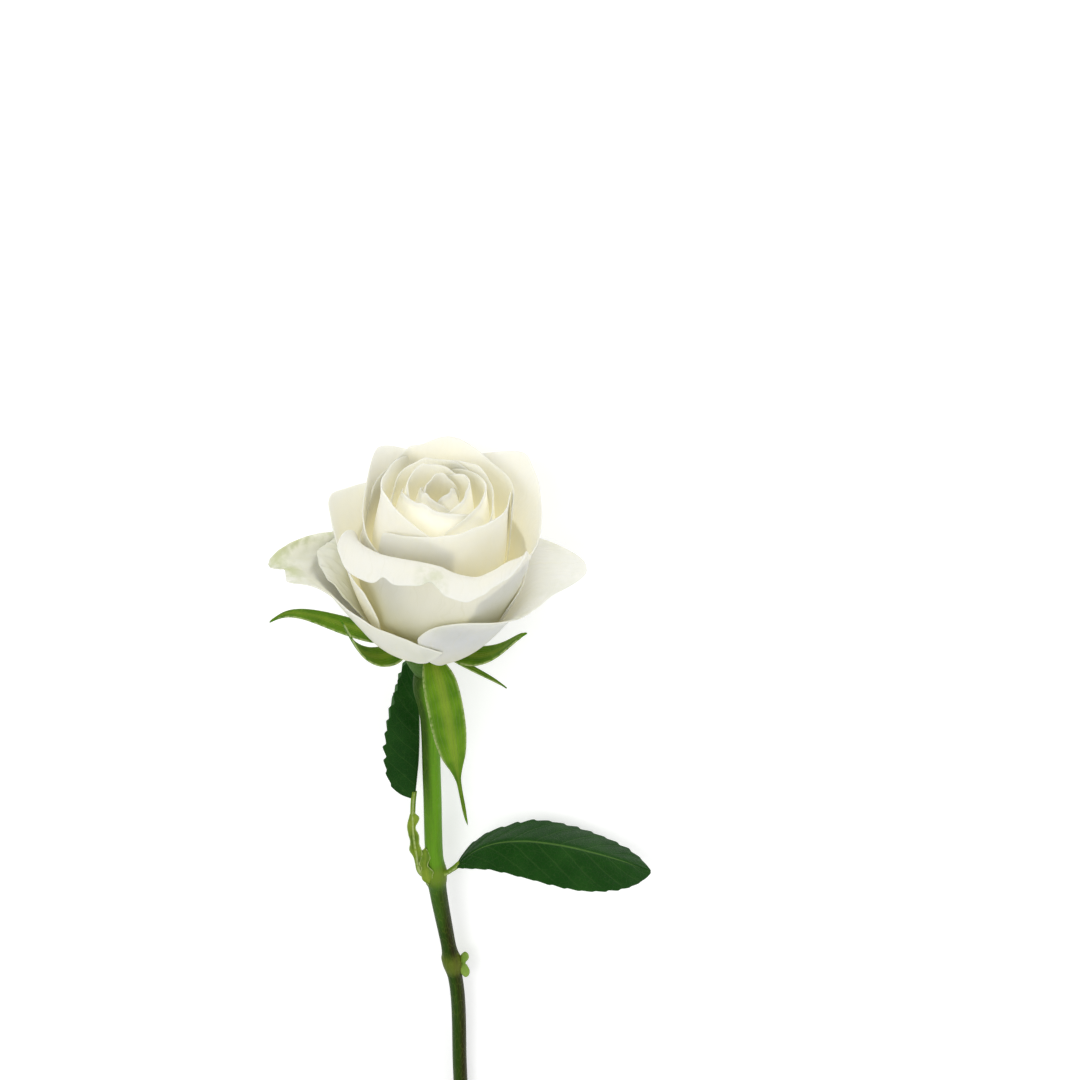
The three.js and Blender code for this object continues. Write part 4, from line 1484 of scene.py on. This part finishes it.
@dataclass
class Studio:
    """The pale floor, the soft light and the camera."""

    layout: Layout
    elevation: float = 64.0
    distance: float = 900.0
    shift_right: float = 36.16
    shift_up: float = 32.0
    focal_length: float = 93.75
    sensor: float = 36.0
    floor_half: float = 4.0
    floor_glow: float = 0.24
    sky: float = 0.715

    def build(self) -> None:
        """Builds the floor, the lights and the camera."""
        self.floor()
        self.lights()
        self.camera()

    def floor(self) -> None:
        """Lays the floor under the rose."""
        bm = bmesh.new()
        bmesh.ops.create_grid(bm, x_segments=1, y_segments=1, size=self.floor_half)
        floor = finish_mesh("floor", bm, Matrix.Translation((0, 0, cad_low.z)))
        glow = {"Emission Color": (1.0, 1.0, 1.0), "Emission Strength": self.floor_glow}
        graph = Graph("floor_paint", {"Roughness": 0.9, "Specular IOR Level": 0.1, **glow})
        graph.colour((0.93, 0.93, 0.93))
        floor.data.materials.append(graph.material)

    def lights(self) -> None:
        """Hangs two large soft lights and fills the rest with an even pale sky."""
        world = bpy.data.worlds.new("studio")
        world.use_nodes = True
        background = world.node_tree.nodes["Background"]
        background.inputs["Color"].default_value = (1.0, 1.0, 1.0, 1.0)
        background.inputs["Strength"].default_value = self.sky
        bpy.context.scene.world = world
        self.soft_box("key", Vector((0.4, 0.45, 1.1)), 0.7, 5.4)
        self.soft_box("fill", Vector((-0.2, -0.9, 0.7)), 0.9, 2.5)

    def soft_box(self, name: str, place: Vector, size: float, power: float) -> None:
        """Hangs a square area light that looks at the bloom.

        Args:
            name: the light's name.
            place: where it hangs, from the base of the bloom.
            size: the length of its side.
            power: its power, in watts.
        """
        light = bpy.data.lights.new(name, "AREA")
        light.size = size
        light.energy = power
        lamp = bpy.data.objects.new(name, light)
        lamp.location = self.layout.base + place
        lamp.rotation_euler = place.to_track_quat("Z", "Y").to_euler()
        bpy.context.scene.collection.objects.link(lamp)

    def camera(self) -> None:
        """Sets the camera, which looks down on the rose with the bloom at the top."""
        height = math.radians(self.elevation)
        right = Vector((0, -1, 0))
        up = Vector((math.sin(height), 0, -math.cos(height)))
        back = Vector((math.cos(height), 0, math.sin(height)))
        data = bpy.data.cameras.new("camera")
        data.lens = self.focal_length
        data.sensor_width = self.sensor
        data.clip_start = 0.01
        data.clip_end = 20
        camera = bpy.data.objects.new("camera", data)
        place = right * self.shift_right + up * self.shift_up + back * self.distance
        turn = Matrix((right, up, back)).transposed().to_4x4()
        camera.matrix_world = Matrix.Translation(self.layout.base + place * MM) @ turn
        bpy.context.scene.collection.objects.link(camera)
        bpy.context.scene.camera = camera
        bpy.context.scene.view_settings.view_transform = "Standard"


def main() -> None:
    """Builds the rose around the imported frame."""
    logging.basicConfig(level=logging.INFO, format="%(name)s: %(message)s")
    layout = Layout()
    wardrobe = Wardrobe()
    bloom = Bloom(layout, wardrobe)
    pieces = bloom.build()
    neck = bloom.lowest_over(bloom.outer_ring) - bloom.receptacle_depth - bloom.neck_gap
    stem = Stem(layout, wardrobe, top=neck)
    pieces += stem.build()
    pieces += Leaves(layout, wardrobe, stem.at(stem.first_node)).build()
    for piece in pieces:
        node = piece.name.split(".")[0]
        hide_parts(node)
        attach(piece, "root")
        log.info("%s: %d faces", node, len(piece.data.polygons))
    Studio(layout).build()


if __name__ == "__main__":
    main()
